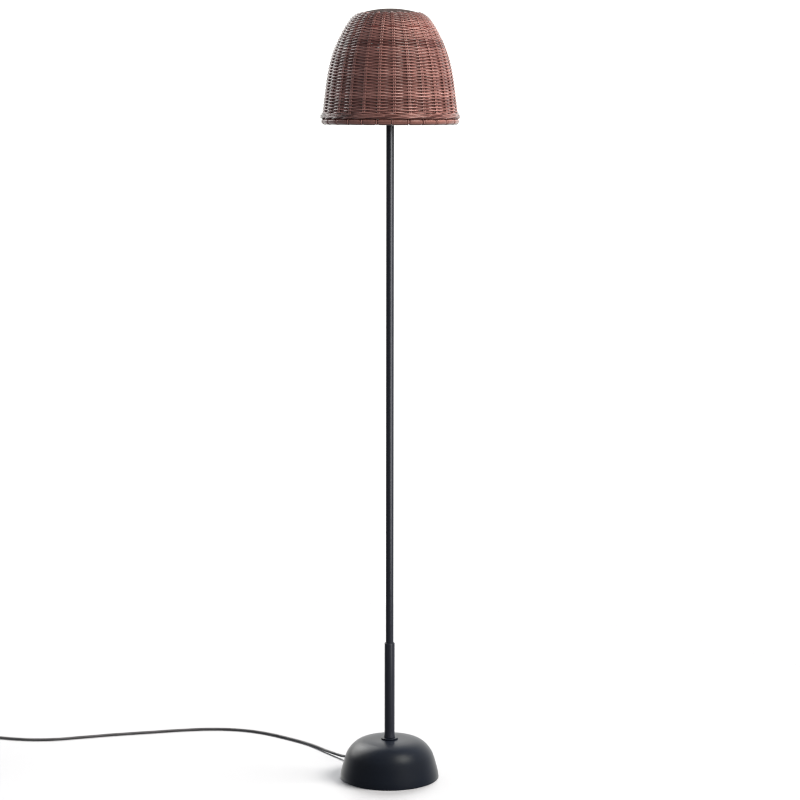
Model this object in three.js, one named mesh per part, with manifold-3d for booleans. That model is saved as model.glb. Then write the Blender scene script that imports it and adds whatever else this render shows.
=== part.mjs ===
// A floor lamp: a domed steel base with an iron weight in it, a two-part steel stem, a lampholder
// with its bulb, a woven rattan shade on a wire frame, and a cord with a foot switch and a plug.
// Millimetres, +Z up. The origin is on the floor under the middle of the base.

import * as THREE from "three";
import { mergeVertices } from "three/addons/utils/BufferGeometryUtils.js";
import Module from "manifold-3d";

const wasm = await Module();
wasm.setup();

// Whole lamp
const lampHeight = 1498;
const fitGap = 0.3; // between pieces that touch
const cutOverrun = 1; // how far a cutting body passes a face
const mergeTolerance = 0.0001;

// Steps round the axis of round pieces
const largeSteps = 36;
const mediumSteps = 24;
const smallSteps = 16;
const screwSteps = 10;

// Cord
const cordRadius = 2.8;
const leadClearance = 0.6; // round the lead in a threaded tube
const cordAngle = THREE.MathUtils.degToRad(128); // where it leaves the base
const freeCordSides = 8;
const leadSides = 8;
const freeCordStep = 16.5; // along the cord, from one ring of points to the next

// Threaded tubes that hold base, stem and lampholder together
const threadRadius = 5;
const threadBore = cordRadius + leadClearance;

// Base shell, from its foot to its flat top, as shares of its radius and height
const baseRadius = 97;
const baseHeight = 76;
const baseWall = 1.6;
const baseFloorGap = 1;
const domeShares = [
  [1, 0],
  [0.989, 0.12],
  [0.964, 0.25],
  [0.938, 0.37],
  [0.909, 0.5],
  [0.873, 0.62],
  [0.826, 0.72],
  [0.775, 0.8],
  [0.72, 0.865],
  [0.648, 0.925],
  [0.556, 0.968],
  [0.42, 0.993],
  [0.2, 1],
];

// Foot ring and bottom cover
const footRingHeight = 2;
const footRingWidth = 30;
const footRingInset = 2; // from the cover's edge
const coverThickness = 1.5;
const coverEdgeGap = 2;

// Ballast: an iron disc with a hub up to the top of the shell
const wiringSpace = 18; // between the cover and the ballast
const ballastThickness = 26;
const ballastEdgeGap = 2.5;
const hubWall = 9;
const nutRecessRadius = 14;
const nutRecessDepth = 10;

// Nut and washer under the ballast
const nutWidth = 17; // across its flats
const nutHeight = 6;
const washerRadius = 11;
const washerThickness = 1.5;
const rodEndInset = 1; // from the ballast's underside

// Screws
const coverScrewRadius = 1.6;
const coverScrewHead = 3.4;
const coverScrewHeadHeight = 1.3;
const coverScrewLength = 12;
const coverScrewCount = 3;
const coverScrewInset = 10; // from the foot ring's inner edge
const coverBossWall = 4;
const bossHoleRest = 2; // left under the end of a screw

// Cord clamp under the ballast
const leadDrop = 10; // from the ballast's underside to the middle of the lead
const clampLength = 26;
const clampWidth = 12;
const clampThickness = 2;
const clampPlaceShare = 0.55; // of the ballast's radius
const clampScrewRadius = 1.4;
const clampScrewHead = 2.8;
const clampScrewHeadHeight = 1.4;
const clampScrewLength = 9;
const clampScrewPlaceShare = 0.32; // of the clamp's length

// Bushing in the base's wall
const bushingWall = 1.5;
const bushingFlange = 2.4;
const bushingFlangeThickness = 2;
const bushingLift = 0.7; // above the cover
const bushingGrip = 0.8; // from the inside of the base's wall to the inner flange
const reliefLength = 22; // of the tapered sleeves where the cord leaves a housing
const reliefEndWall = 0.7;

// Lead inside the base
const leadBendRadius = 12;
const leadBendSteps = 6;
const leadRiseStart = 4; // from the bushing's inner face
const leadRiseLength = 12;

// Collar and stem
const collarWidth = 6.5; // beyond the sleeve
const collarThickness = 2.5;
const insertWall = 0.7;
const poleWall = 1.2;
const guideWall = 0.6;
const sleeveWall = 1.3;
const sleeveLength = 190;
const sleeveFlare = 0.8;
const sleeveFlareHeight = 4;
const sleeveLip = 0.7;
const poleInsertion = 120; // length of the pole inside the sleeve
const guideLength = 34;
const guideInset = 3; // under the sleeve's lip
const sleeveInsertLength = 24;
const rodInset = 4; // from the top of the insert to the end of the tie rod
const grubRadius = 2.5;
const grubProud = 0.6;
const grubRise = 20; // above the foot of the pole
const poleInsertLength = 20;

// Lampholder
const holderLift = 8.3; // from the shade's rim to the foot of the lampholder
const nippleInPole = 16;
const nippleInHolder = 12;
const holderCapHeight = 20;
const holderCapNeck = 3; // beyond the thread
const holderWall = 2;
const holderShellHeight = 36;
const holderCoreLift = 4; // of the core above the foot of the shell
const holderCoreFloor = 6;
const holderCoreHeight = 30;
const contactSpace = 2; // between the bulb's cap and the core
const contactThickness = 0.8;
const contactRadius = 4;
const sideContactWidth = 6;
const sideContactHeight = 14;

// Rings that clamp the shade's frame on the lampholder
const shadeRingWidth = 4.5;
const shadeRingHeight = 4;
const shadeRingLift = 14; // above the foot of the shell

// Bulb
const bulbCapRadius = 13.2;
const bulbCapHeight = 24;
const bulbTipRadius = 5;
const bulbTipHeight = 3;
const bulbRadius = 30;
const bulbHeight = 84; // of the glass above its cap
const glassWall = 1;
const bulbNeckSink = 6; // of the glass in the cap
const bulbWaistShares = [
  [0.42, 0],
  [0.45, 0.17],
  [0.6, 0.44],
  [0.82, 0.72],
]; // of its radius, and of the height from its cap to its middle
const bulbDomeSteps = 5;
const bulbStemRadius = 2.5;
const bulbStemFoot = 8;
const bulbStemHeight = 46;

// Shade: the outside of the weave, as shares of the weave's height and the rim's radius
const shadeHeight = 218;
const rimRadius = 131;
const hoopRadius = 6;
const waleHeight = 7.6;
const waleDepth = 8;
const waleBulge = 2;
const waleGap = 0.3;
const weaveWall = 6;
const weaveRelief = 3.1; // how far the weave bulges over its stakes
const stakeCount = 27;
const stakeStart = THREE.MathUtils.degToRad(3.8); // of one stake from the front
const weaveTopDrop = 6.6; // from the lamp's top to the upper edge of the weave
const weaveShares = [
  [0, 0.991],
  [0.119, 0.969],
  [0.237, 0.947],
  [0.355, 0.922],
  [0.472, 0.889],
  [0.59, 0.842],
  [0.708, 0.773],
  [0.768, 0.728],
  [0.825, 0.685],
  [0.883, 0.632],
  [0.943, 0.566],
  [0.974, 0.508],
  [0.991, 0.462],
  [1, 0.424],
];

// Crown: the smooth disc that closes the top of the weave
const crownRise = 8;
const crownEdge = 4.4;
const crownShares = [1, 0.8, 0.55, 0.3];

// Wire frame of the shade
const wireRadius = 2;
const armWireRadius = 1.5;
const frameGap = 0.6; // between the frame's hoop and the rim hoop
const spiderRingBeyond = 4; // outside the rings that clamp it
const spiderRingThickness = 3;
const armCount = 3;
const armStart = THREE.MathUtils.degToRad(90);
const wireSides = 6;
const hoopSides = 8;

// Free cord: hand-chosen points on the floor, from the base to the turn towards the switch
const cordRoute = [
  [-93.3, 116, 6.9],
  [-125.6, 159, 4.2],
  [-165.6, 214.9, 3],
  [-215.6, 262.5, 3],
  [-266, 301.1, 3],
  [-316, 323.2, 3],
  [-374.8, 330.7, 3],
  [-437.2, 322.5, 3],
  [-508.2, 305.1, 3],
  [-578.8, 287.1, 3],
  [-648.1, 265.4, 3],
  [-694.1, 251.5, 3],
  [-741.5, 247.5, 3],
  [-785.5, 254, 3],
  [-815.9, 262.9, 3],
  [-838, 266, 3],
  [-858, 260, 3],
  [-872, 246, 4.2],
  [-879, 227, 7.5],
];

// Foot switch, lengthwise along Y
const switchX = -880;
const switchY = 143;
const switchLength = 78;
const switchWidth = 34;
const switchFloorGap = 0.2;
const switchBaseHeight = 9;
const switchCoverHeight = 11;
const switchWall = 2;
const switchRecess = 2; // under the floor of the base, for the heads of its screws
const switchFloor = 2;
const switchEdge = 3; // rounding of the cover
const switchEdgeSteps = 2;
const switchRoundSteps = 8; // round each end of its outline
const gripWall = 1.4;
const gripInside = 6;
const switchScrewRadius = 1.4;
const switchScrewHead = 2.6;
const switchScrewHeadHeight = 1.2;
const switchScrewLength = 13;
const switchPostRadius = 3.4;
const switchScrewAcross = 9.5;
const switchScrewAlong = 25;

// Inside the switch
const blockLength = 22;
const blockWidth = 15;
const blockHeight = 3;
const terminalLength = 6;
const terminalWidth = 8;
const terminalHeight = 7;

// Button of the switch and its spring
const buttonRadius = 12;
const buttonClearance = 0.5;
const buttonTravel = 3;
const buttonRest = 2; // proud of the cover when it is pressed
const buttonFlange = 1.6;
const buttonFlangeThickness = 1.6;
const buttonRound = 2;
const springRadius = 4;

// Coil of spare cord: two layers that spiral in and out
const coilTurnsPerLayer = 2;
const coilPitch = 6.4; // from one loop to the next
const coilLayerPitch = 6.3;
const coilInnerRadius = 24.8;
const coilLoopSteps = 24;
const coilSides = 6;
const coilY = 10;
const tieWidth = 8;
const tieThickness = 0.8;
const tieFloorGap = 0.1;
const tieSideGap = 0.6; // because the loops curve under it

// Plug
const plugLeadLength = 46;
const bootWall = 2.6;
const plugLength = 34;
const plugWidth = 34;
const plugNeckWidth = 14;
const plugThickness = 13.7;
const plugEdge = 2;
const pinRadius = 2;
const pinLength = 19;
const pinSpacing = 18.6;
const pinSink = 8;
const plugFloorGap = 0.2;

// Heights that follow from those
const coverBottom = footRingHeight + fitGap;
const coverTop = coverBottom + coverThickness;
const ballastBottom = coverTop + wiringSpace;
const ballastTop = ballastBottom + ballastThickness;
const domeTop = baseFloorGap + baseHeight;
const collarBottom = domeTop + fitGap;
const collarTop = collarBottom + collarThickness;
const sleeveBottom = collarTop + fitGap;
const sleeveTop = sleeveBottom + sleeveLength;
const rimBottom = lampHeight - shadeHeight;
const holderBottom = rimBottom + holderLift;
const poleTop = holderBottom - fitGap;
const poleBottom = sleeveTop - poleInsertion;
const shellBottom = holderBottom + holderCapHeight + fitGap;
const shadeRingBottom = shellBottom + shadeRingLift;
const spiderBottom = shadeRingBottom + shadeRingHeight + fitGap;
const spiderTop = spiderBottom + spiderRingThickness;
const coreBottom = shellBottom + holderCoreLift;
const contactBottom = coreBottom + holderCoreFloor + fitGap;
const bulbBottom = contactBottom + contactThickness + fitGap;
const bulbGlassBottom = bulbBottom + bulbTipHeight + bulbCapHeight;
const hoopMiddle = rimBottom + hoopRadius;
const waleBottom = hoopMiddle + hoopRadius + waleGap;
const waleTop = waleBottom + waleHeight;
const weaveBottom = waleTop + waleGap;
const weaveTop = lampHeight - weaveTopDrop;
const leadHeight = ballastBottom - leadDrop;

// Radii that follow from those
const sleeveInsertBore = threadRadius + fitGap;
const poleBore = sleeveInsertBore + insertWall + fitGap;
const poleRadius = poleBore + poleWall;
const guideBore = poleRadius + fitGap;
const sleeveBore = guideBore + guideWall + fitGap;
const sleeveRadius = sleeveBore + sleeveWall;
const coreBore = bulbCapRadius + contactSpace;
const coreRadius = coreBore + holderWall;
const shellBore = coreRadius + fitGap;
const shellRadius = shellBore + holderWall;
const shadeRingBore = shellRadius + fitGap;
const hoopRingRadius = rimRadius - hoopRadius;
const spiderRadius = shadeRingBore + shadeRingWidth + spiderRingBeyond;
const frameRingRadius = hoopRingRadius - hoopRadius - frameGap - wireRadius;
const crownRadius = rimRadius * weaveShares.at(-1)[1] - fitGap;
const coverRadius = baseRadius - baseWall - coverEdgeGap;
const footRingRadius = coverRadius - footRingInset;
const footRingBore = footRingRadius - footRingWidth;
const bushingBore = cordRadius + fitGap;
const bushingNeck = bushingBore + bushingWall;
const bushingRadius = bushingNeck + bushingFlange;
const bushingHeight = coverTop + bushingRadius + bushingLift;
const bushingSeat = radiusAt(domeProfile(), bushingHeight + bushingRadius) - baseWall;
const bushingNeckStart = Math.sqrt(bushingSeat ** 2 - bushingRadius ** 2) - bushingGrip;
const bushingInnerFace = bushingNeckStart - bushingFlangeThickness;
const bushingWallFoot = radiusAt(domeProfile(), bushingHeight - bushingRadius);
const bushingOuterFace = bushingWallFoot + fitGap + bushingFlangeThickness;
const reliefEnd = bushingOuterFace + reliefLength;
const reliefEndRadius = bushingBore + reliefEndWall;
const switchMiddle = switchFloorGap + switchBaseHeight;
const coilOuterRadius = coilInnerRadius + coilTurnsPerLayer * coilPitch;
const coilX = switchX + coilOuterRadius;
const coilLowLayer = tieFloorGap + tieThickness + fitGap + cordRadius;
const coilTopLayer = coilLowLayer + coilLayerPitch;
const cordDiameter = 2 * cordRadius;
const coilEndY = coilY - cordDiameter;
const plugMiddle = plugFloorGap + plugThickness / 2;
const bootEndY = coilEndY - plugLeadLength;
const plugBackY = bootEndY - reliefLength;
const plugFaceY = plugBackY - plugLength;

// A solid of revolution about Z, from [radius, height] points that go anticlockwise
function turned(profile, steps) {
  const points = profile.map(([radius, height]) => new THREE.Vector2(radius, height));
  const onAxis = profile[0][0] === 0 && profile.at(-1)[0] === 0;
  if (!onAxis) points.push(points[0].clone());
  return new THREE.LatheGeometry(points, steps).rotateX(Math.PI / 2);
}

function disc(radius, bottom, top, steps) {
  return turned([[0, bottom], [radius, bottom], [radius, top], [0, top]], steps);
}

function ring(bore, radius, bottom, top, steps) {
  return turned([[bore, bottom], [radius, bottom], [radius, top], [bore, top]], steps);
}

// A screw with its head down, its head's underside at height
function screwUp(radius, headRadius, headHeight, height, length) {
  const head = height - headHeight;
  const end = height + length;
  const headOutline = [[0, head], [headRadius, head], [headRadius, height]];
  return turned([...headOutline, [radius, height], [radius, end], [0, end]], screwSteps);
}

// A profile moved to its left by a wall's thickness, point by point
function insetProfile(profile, wall) {
  return profile.map(([radius, height], i) => {
    const [r0, z0] = profile[Math.max(i - 1, 0)];
    const [r1, z1] = profile[Math.min(i + 1, profile.length - 1)];
    const run = Math.hypot(r1 - r0, z1 - z0);
    return [radius - (wall * (z1 - z0)) / run, height + (wall * (r1 - r0)) / run];
  });
}

// A turned shape with ribs: all round it, a rib's profile and a valley's take turns
function ribbed(rib, valley, count) {
  const shape = turned(rib, 2 * count);
  const points = shape.getAttribute("position");
  const column = points.count / (2 * count + 1);
  for (let start = column; start < points.count; start += 2 * column) {
    const angle = Math.atan2(points.getY(start), points.getX(start));
    for (let i = 0; i < column; i++) {
      const [radius, height] = valley[i % valley.length];
      points.setXYZ(start + i, radius * Math.cos(angle), radius * Math.sin(angle), height);
    }
  }
  return shape;
}

// Every other point of a profile, with both its ends
function thinned(profile) {
  return profile.filter((_, i) => i % 2 === 0 || i === profile.length - 1);
}

// The radius of a profile at a height
function radiusAt(profile, height) {
  const above = Math.max(profile.findIndex(([, z]) => z >= height), 1);
  const [r0, z0] = profile[above - 1];
  const [r1, z1] = profile[above];
  return r0 + ((r1 - r0) * (height - z0)) / (z1 - z0);
}

// Joins and cuts
function toSolid(geometry) {
  const bare = geometry.clone();
  bare.deleteAttribute("normal");
  bare.deleteAttribute("uv");
  const merged = mergeVertices(bare, mergeTolerance);
  return new wasm.Manifold(
    new wasm.Mesh({
      numProp: 3,
      vertProperties: merged.attributes.position.array,
      triVerts: new Uint32Array(merged.index.array),
    }),
  );
}

function toGeometry(solid) {
  const mesh = solid.getMesh();
  const geometry = new THREE.BufferGeometry();
  geometry.setAttribute("position", new THREE.BufferAttribute(mesh.vertProperties, 3));
  geometry.setIndex(new THREE.BufferAttribute(mesh.triVerts, 1));
  const shaded = geometry.toNonIndexed();
  shaded.computeVertexNormals();
  return shaded;
}

function joined(first, ...others) {
  return toGeometry(others.reduce((sum, other) => sum.add(toSolid(other)), toSolid(first)));
}

function cut(body, ...cutters) {
  return toGeometry(cutters.reduce((rest, cutter) => rest.subtract(toSolid(cutter)), toSolid(body)));
}

function circle(radius, x = 0, y = 0) {
  return new THREE.Path().absarc(x, y, radius, 0, 2 * Math.PI, false);
}

function extruded(shape, bottom, height, curveSegments = 6) {
  const options = { depth: height, bevelEnabled: false, curveSegments };
  return new THREE.ExtrudeGeometry(shape, options).translate(0, 0, bottom);
}

// A cylinder lengthwise along Y
function rodAlongY(radius, x, z, yFrom, yTo, steps) {
  const rod = new THREE.CylinderGeometry(radius, radius, yTo - yFrom, steps);
  return rod.translate(x, (yFrom + yTo) / 2, z);
}

// A closed tube through a list of centres
function sweptTube(centres, radius, sides) {
  const last = centres.length - 1;
  const tangents = centres.map((_, i) => {
    const ahead = centres[Math.min(i + 1, last)];
    return ahead.clone().sub(centres[Math.max(i - 1, 0)]).normalize();
  });
  const positions = [];
  const side = new THREE.Vector3(0, 0, 1).cross(tangents[0]).normalize();
  centres.forEach((centre, i) => {
    side.addScaledVector(tangents[i], -side.dot(tangents[i])).normalize();
    const up = tangents[i].clone().cross(side);
    for (let k = 0; k < sides; k += 1) {
      const angle = (2 * Math.PI * k) / sides;
      const point = centre.clone().addScaledVector(side, radius * Math.cos(angle));
      positions.push(...point.addScaledVector(up, radius * Math.sin(angle)));
    }
  });
  positions.push(...centres[0], ...centres[last]);
  const faces = [];
  const start = centres.length * sides;
  for (let k = 0; k < sides; k += 1) {
    const next = (k + 1) % sides;
    for (let i = 0; i < last; i += 1) {
      const here = i * sides;
      const there = here + sides;
      faces.push(here + k, here + next, there + next, here + k, there + next, there + k);
    }
    faces.push(start, next, k, start + 1, last * sides + k, last * sides + next);
  }
  const geometry = new THREE.BufferGeometry();
  geometry.setAttribute("position", new THREE.Float32BufferAttribute(positions, 3));
  geometry.setIndex(faces);
  const shaded = geometry.toNonIndexed();
  shaded.computeVertexNormals();
  return shaded;
}

// A free stretch of cord along a smooth curve through points
function cordTube(points) {
  const curve = new THREE.CatmullRomCurve3(points, false, "centripetal");
  const section = new THREE.Shape(circle(cordRadius).getSpacedPoints(freeCordSides).slice(0, -1));
  const steps = Math.ceil(curve.getLength() / freeCordStep);
  return new THREE.ExtrudeGeometry(section, { steps, extrudePath: curve, bevelEnabled: false });
}

// Materials
function metal(color, roughness) {
  return new THREE.MeshStandardMaterial({ color, roughness, metalness: 1 });
}

function plain(color, roughness) {
  return new THREE.MeshStandardMaterial({ color, roughness, metalness: 0 });
}

const lamp = new THREE.Group();

function add(name, geometry, material) {
  const mesh = new THREE.Mesh(geometry, material);
  mesh.name = name;
  lamp.add(mesh);
  return mesh;
}

// The base shell's outer profile
function domeProfile() {
  return domeShares.map(([radiusShare, heightShare]) => [
    radiusShare * baseRadius,
    baseFloorGap + heightShare * baseHeight,
  ]);
}

// A piece made about X at the cord's place in the base, turned to where the cord leaves
function turnToCord(geometry) {
  return geometry.rotateZ(cordAngle);
}

function addBaseDome() {
  const outer = domeProfile();
  const hole = threadRadius + fitGap;
  const inner = thinned(insetProfile(outer, baseWall));
  inner[0] = [outer[0][0] - baseWall, outer[0][1]];
  const profile = [...outer, [hole, domeTop], [hole, domeTop - baseWall], ...inner.reverse()];
  const shell = turned(profile, largeSteps);
  const reach = baseRadius - bushingInnerFace;
  const holeRadius = bushingNeck + fitGap;
  const cordHole = new THREE.CylinderGeometry(holeRadius, holeRadius, 2 * reach, smallSteps);
  cordHole.rotateZ(Math.PI / 2).translate(baseRadius, 0, bushingHeight);
  add("base_dome", cut(shell, turnToCord(cordHole)), metal(0x1d1e22, 0.42));
}

function addFootRing() {
  const foot = ring(footRingBore, footRingRadius, 0, footRingHeight, largeSteps);
  add("foot_ring", foot, plain(0x1a1a1b, 0.95));
}

// The cover's screws stand clear of the cord's way to the middle
function coverScrewPlaces() {
  const distance = footRingBore - coverScrewInset;
  return Array.from({ length: coverScrewCount }, (_, i) => {
    const angle = cordAngle + (Math.PI * (2 * i + 1)) / coverScrewCount;
    return [distance * Math.cos(angle), distance * Math.sin(angle)];
  });
}

function addBaseCover() {
  const holes = coverScrewPlaces().map(([x, y]) => {
    const [bottom, top] = [coverBottom - cutOverrun, coverTop + cutOverrun];
    const hole = disc(coverScrewRadius + fitGap, bottom, top, screwSteps);
    return hole.translate(x, y, 0);
  });
  const plate = disc(coverRadius, coverBottom, coverTop, largeSteps);
  add("base_cover", cut(plate, ...holes), metal(0x55575b, 0.5));
}

function addCoverScrews() {
  const height = coverBottom - fitGap;
  coverScrewPlaces().forEach(([x, y], i) => {
    const screw = screwUp(coverScrewRadius, coverScrewHead, coverScrewHeadHeight, height, coverScrewLength);
    add(`cover_screw_${i + 1}`, screw, metal(0x8a8c90, 0.35)).position.set(x, y, 0);
  });
}

function ballastRadius() {
  return radiusAt(domeProfile(), ballastTop) - baseWall - ballastEdgeGap;
}

// A square hanging block for the cord clamp, about X
function clampBoss() {
  const bottom = leadHeight + cordRadius + fitGap;
  const height = ballastBottom + cutOverrun - bottom;
  const boss = new THREE.BoxGeometry(clampWidth, clampLength, height);
  return boss.translate(clampPlaceShare * ballastRadius(), 0, bottom + height / 2);
}

function clampScrewPlaces() {
  const x = clampPlaceShare * ballastRadius();
  const y = clampScrewPlaceShare * clampLength;
  return [[x, -y], [x, y]];
}

function clampPlateTop() {
  return leadHeight - cordRadius - fitGap;
}

function addBallast() {
  const bore = threadRadius + fitGap;
  const hubRadius = bore + hubWall;
  const hubTop = domeTop - baseWall - fitGap;
  const recessTop = ballastBottom + nutRecessDepth;
  const edge = ballastRadius();
  const profile = [
    [nutRecessRadius, ballastBottom],
    [edge, ballastBottom],
    [edge, ballastTop],
    [hubRadius, ballastTop],
    [hubRadius, hubTop],
    [bore, hubTop],
    [bore, recessTop],
    [nutRecessRadius, recessTop],
  ];
  const bossBottom = coverTop + fitGap;
  const bosses = coverScrewPlaces().map(([x, y]) => {
    const boss = disc(coverScrewRadius + coverBossWall, bossBottom, ballastBottom + cutOverrun, smallSteps);
    return boss.translate(x, y, 0);
  });
  const body = joined(turned(profile, largeSteps), ...bosses, turnToCord(clampBoss()));
  const coverHoles = coverScrewPlaces().map(([x, y]) => {
    const top = coverBottom - fitGap + coverScrewLength + bossHoleRest;
    return disc(coverScrewRadius + fitGap, bossBottom - cutOverrun, top, screwSteps).translate(x, y, 0);
  });
  const clampHoles = clampScrewPlaces().map(([x, y]) => {
    const top = clampPlateTop() - clampThickness - fitGap + clampScrewLength + bossHoleRest;
    const hole = disc(clampScrewRadius + fitGap, leadHeight, top, screwSteps);
    return turnToCord(hole.translate(x, y, 0));
  });
  add("ballast_disc", cut(body, ...coverHoles, ...clampHoles), metal(0x3a3735, 0.75));
}

function addTieRod() {
  const bottom = ballastBottom + rodEndInset;
  const top = sleeveBottom + sleeveInsertLength - rodInset;
  add("tie_rod", ring(threadBore, threadRadius, bottom, top, smallSteps), metal(0xb6b3ab, 0.35));
}

function washerBottom() {
  return ballastBottom + nutRecessDepth - fitGap - washerThickness;
}

function addWasherAndNut() {
  const bore = threadRadius + fitGap;
  const bottom = washerBottom();
  const washer = ring(bore, washerRadius, bottom, bottom + washerThickness, smallSteps);
  add("tie_rod_washer", washer, metal(0x9a9c9f, 0.35));
  const corner = new THREE.Vector2(nutWidth / Math.sqrt(3), 0);
  const middle = new THREE.Vector2();
  const turns = [0, 1, 2, 3, 4, 5].map((side) => (side * Math.PI) / 3);
  const corners = turns.map((turn) => corner.clone().rotateAround(middle, turn));
  const shape = new THREE.Shape(corners);
  shape.holes.push(circle(bore));
  const nut = extruded(shape, bottom - fitGap - nutHeight, nutHeight, smallSteps);
  add("tie_rod_nut", nut, metal(0x9a9c9f, 0.35));
}

function addCordBushing() {
  const neckEnd = baseRadius + fitGap;
  const profile = [
    [bushingBore, bushingInnerFace],
    [bushingRadius, bushingInnerFace],
    [bushingRadius, bushingNeckStart],
    [bushingNeck, bushingNeckStart],
    [bushingNeck, neckEnd],
    [bushingRadius, neckEnd],
    [bushingNeck + bushingFlange / 2, bushingOuterFace],
    [bushingNeck, bushingOuterFace],
    [reliefEndRadius, reliefEnd],
    [bushingBore, reliefEnd],
  ];
  const bushing = turned(profile, smallSteps).rotateY(Math.PI / 2).translate(0, 0, bushingHeight);
  add("cord_bushing", turnToCord(bushing), plain(0x141415, 0.55));
}

function addCordClamp() {
  const middle = clampPlaceShare * ballastRadius();
  const top = clampPlateTop();
  const shape = new THREE.Shape();
  shape.moveTo(middle - clampWidth / 2, -clampLength / 2);
  shape.lineTo(middle + clampWidth / 2, -clampLength / 2);
  shape.lineTo(middle + clampWidth / 2, clampLength / 2);
  shape.lineTo(middle - clampWidth / 2, clampLength / 2);
  shape.closePath();
  for (const [x, y] of clampScrewPlaces()) shape.holes.push(circle(clampScrewRadius + fitGap, x, y));
  const plate = extruded(shape, top - clampThickness, clampThickness);
  add("cord_clamp", turnToCord(plate), plain(0xd8d4c8, 0.5));
  clampScrewPlaces().forEach(([x, y], i) => {
    const height = top - clampThickness - fitGap;
    const screw = screwUp(clampScrewRadius, clampScrewHead, clampScrewHeadHeight, height, clampScrewLength);
    add(`clamp_screw_${i + 1}`, turnToCord(screw.translate(x, y, 0)), metal(0x8a8c90, 0.35));
  });
}

// The lead inside the lamp: through the bushing, under the clamp, round a bend and up the stem
function addInnerLead() {
  const outward = new THREE.Vector3(Math.cos(cordAngle), Math.sin(cordAngle), 0);
  const at = (distance, height) => outward.clone().multiplyScalar(distance).setZ(height);
  const riseStart = bushingInnerFace - leadRiseStart;
  const centres = [
    at(reliefEnd, bushingHeight),
    at(riseStart, bushingHeight),
    at(riseStart - leadRiseLength / 2, (bushingHeight + leadHeight) / 2),
    at(riseStart - leadRiseLength, leadHeight),
  ];
  for (let i = 0; i <= leadBendSteps; i += 1) {
    const angle = (Math.PI / 2) * (i / leadBendSteps);
    const distance = leadBendRadius * (1 - Math.sin(angle));
    centres.push(at(distance, leadHeight + leadBendRadius * (1 - Math.cos(angle))));
  }
  centres.push(at(0, holderBottom + nippleInHolder));
  add("inner_lead", sweptTube(centres, cordRadius, leadSides), plain(0x2a2726, 0.7));
}

function addCollar() {
  const bore = threadRadius + fitGap;
  const outer = sleeveRadius + collarWidth;
  const profile = [
    [bore, collarBottom],
    [outer, collarBottom],
    [outer, collarBottom + collarThickness / 2],
    [outer - collarThickness / 2, collarTop],
    [bore, collarTop],
  ];
  add("collar_ring", turned(profile, largeSteps), metal(0x2a2b2f, 0.35));
}

function grubHeight() {
  return poleBottom + grubRise;
}

function addLowerSleeve() {
  const profile = [
    [sleeveBore, sleeveBottom],
    [sleeveRadius + sleeveFlare, sleeveBottom],
    [sleeveRadius + sleeveFlare / 2, sleeveBottom + sleeveFlareHeight / 2],
    [sleeveRadius, sleeveBottom + sleeveFlareHeight],
    [sleeveRadius, sleeveTop - sleeveLip],
    [sleeveRadius - sleeveLip, sleeveTop],
    [sleeveBore, sleeveTop],
  ];
  const hole = rodAlongY(grubRadius + fitGap, 0, grubHeight(), 0, sleeveRadius + cutOverrun, screwSteps);
  add("lower_sleeve", cut(turned(profile, mediumSteps), hole), metal(0x232429, 0.38));
}

function addStemInserts() {
  const bore = threadRadius + fitGap;
  const outer = sleeveBore - fitGap;
  const insert = ring(bore, outer, sleeveBottom, sleeveBottom + sleeveInsertLength, smallSteps);
  add("sleeve_insert", insert, metal(0xb89a5a, 0.35));
  const guideTop = sleeveTop - guideInset;
  const guide = ring(guideBore, outer, guideTop - guideLength, guideTop, mediumSteps);
  add("guide_bush", guide, plain(0x1b1b1c, 0.5));
  const grubEnd = sleeveRadius + grubProud;
  const grub = rodAlongY(grubRadius, 0, grubHeight(), poleRadius + fitGap, grubEnd, screwSteps);
  add("grub_screw", grub, metal(0x2c2c2e, 0.4));
  const poleInsert = ring(bore, poleBore - fitGap, poleTop - poleInsertLength, poleTop, smallSteps);
  add("pole_insert", poleInsert, metal(0xb89a5a, 0.35));
}

function addUpperPole() {
  add("upper_pole", ring(poleBore, poleRadius, poleBottom, poleTop, mediumSteps), metal(0x232429, 0.36));
}

function addHolderNipple() {
  const top = holderBottom + nippleInHolder;
  const nipple = ring(threadBore, threadRadius, poleTop - nippleInPole, top, smallSteps);
  add("holder_nipple", nipple, metal(0xb6b3ab, 0.35));
}

function addHolderCap() {
  const bore = threadRadius + fitGap;
  const neck = bore + holderCapNeck;
  const top = holderBottom + holderCapHeight;
  const profile = [
    [bore, holderBottom],
    [neck, holderBottom],
    [shellRadius, holderBottom + holderCapHeight / 2],
    [shellRadius, top],
    [shellRadius - holderWall, top],
    [shellRadius - holderWall, holderBottom + holderCapHeight / 2 + holderWall],
    [neck, holderBottom + 2 * holderWall],
    [bore, holderBottom + 2 * holderWall],
  ];
  add("holder_cap", turned(profile, mediumSteps), plain(0x17171a, 0.35));
}

function addHolderShell() {
  const shell = ring(shellBore, shellRadius, shellBottom, shellBottom + holderShellHeight, mediumSteps);
  add("holder_shell", shell, plain(0x17171a, 0.35));
}

function addHolderCore() {
  const hole = cordRadius + fitGap;
  const floor = coreBottom + holderCoreFloor;
  const top = coreBottom + holderCoreHeight;
  const profile = [
    [hole, coreBottom],
    [coreRadius, coreBottom],
    [coreRadius, top],
    [coreBore, top],
    [coreBore, floor],
    [hole, floor],
  ];
  add("holder_core", turned(profile, mediumSteps), plain(0xe6e2d8, 0.35));
}

function addContacts() {
  const centre = disc(contactRadius, contactBottom, contactBottom + contactThickness, screwSteps);
  add("centre_contact", centre, metal(0xc8a560, 0.3));
  const side = new THREE.BoxGeometry(contactThickness, sideContactWidth, sideContactHeight);
  side.translate(coreBore - contactThickness, 0, contactBottom + sideContactHeight / 2);
  add("side_contact", side, metal(0xc8a560, 0.3));
}

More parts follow.
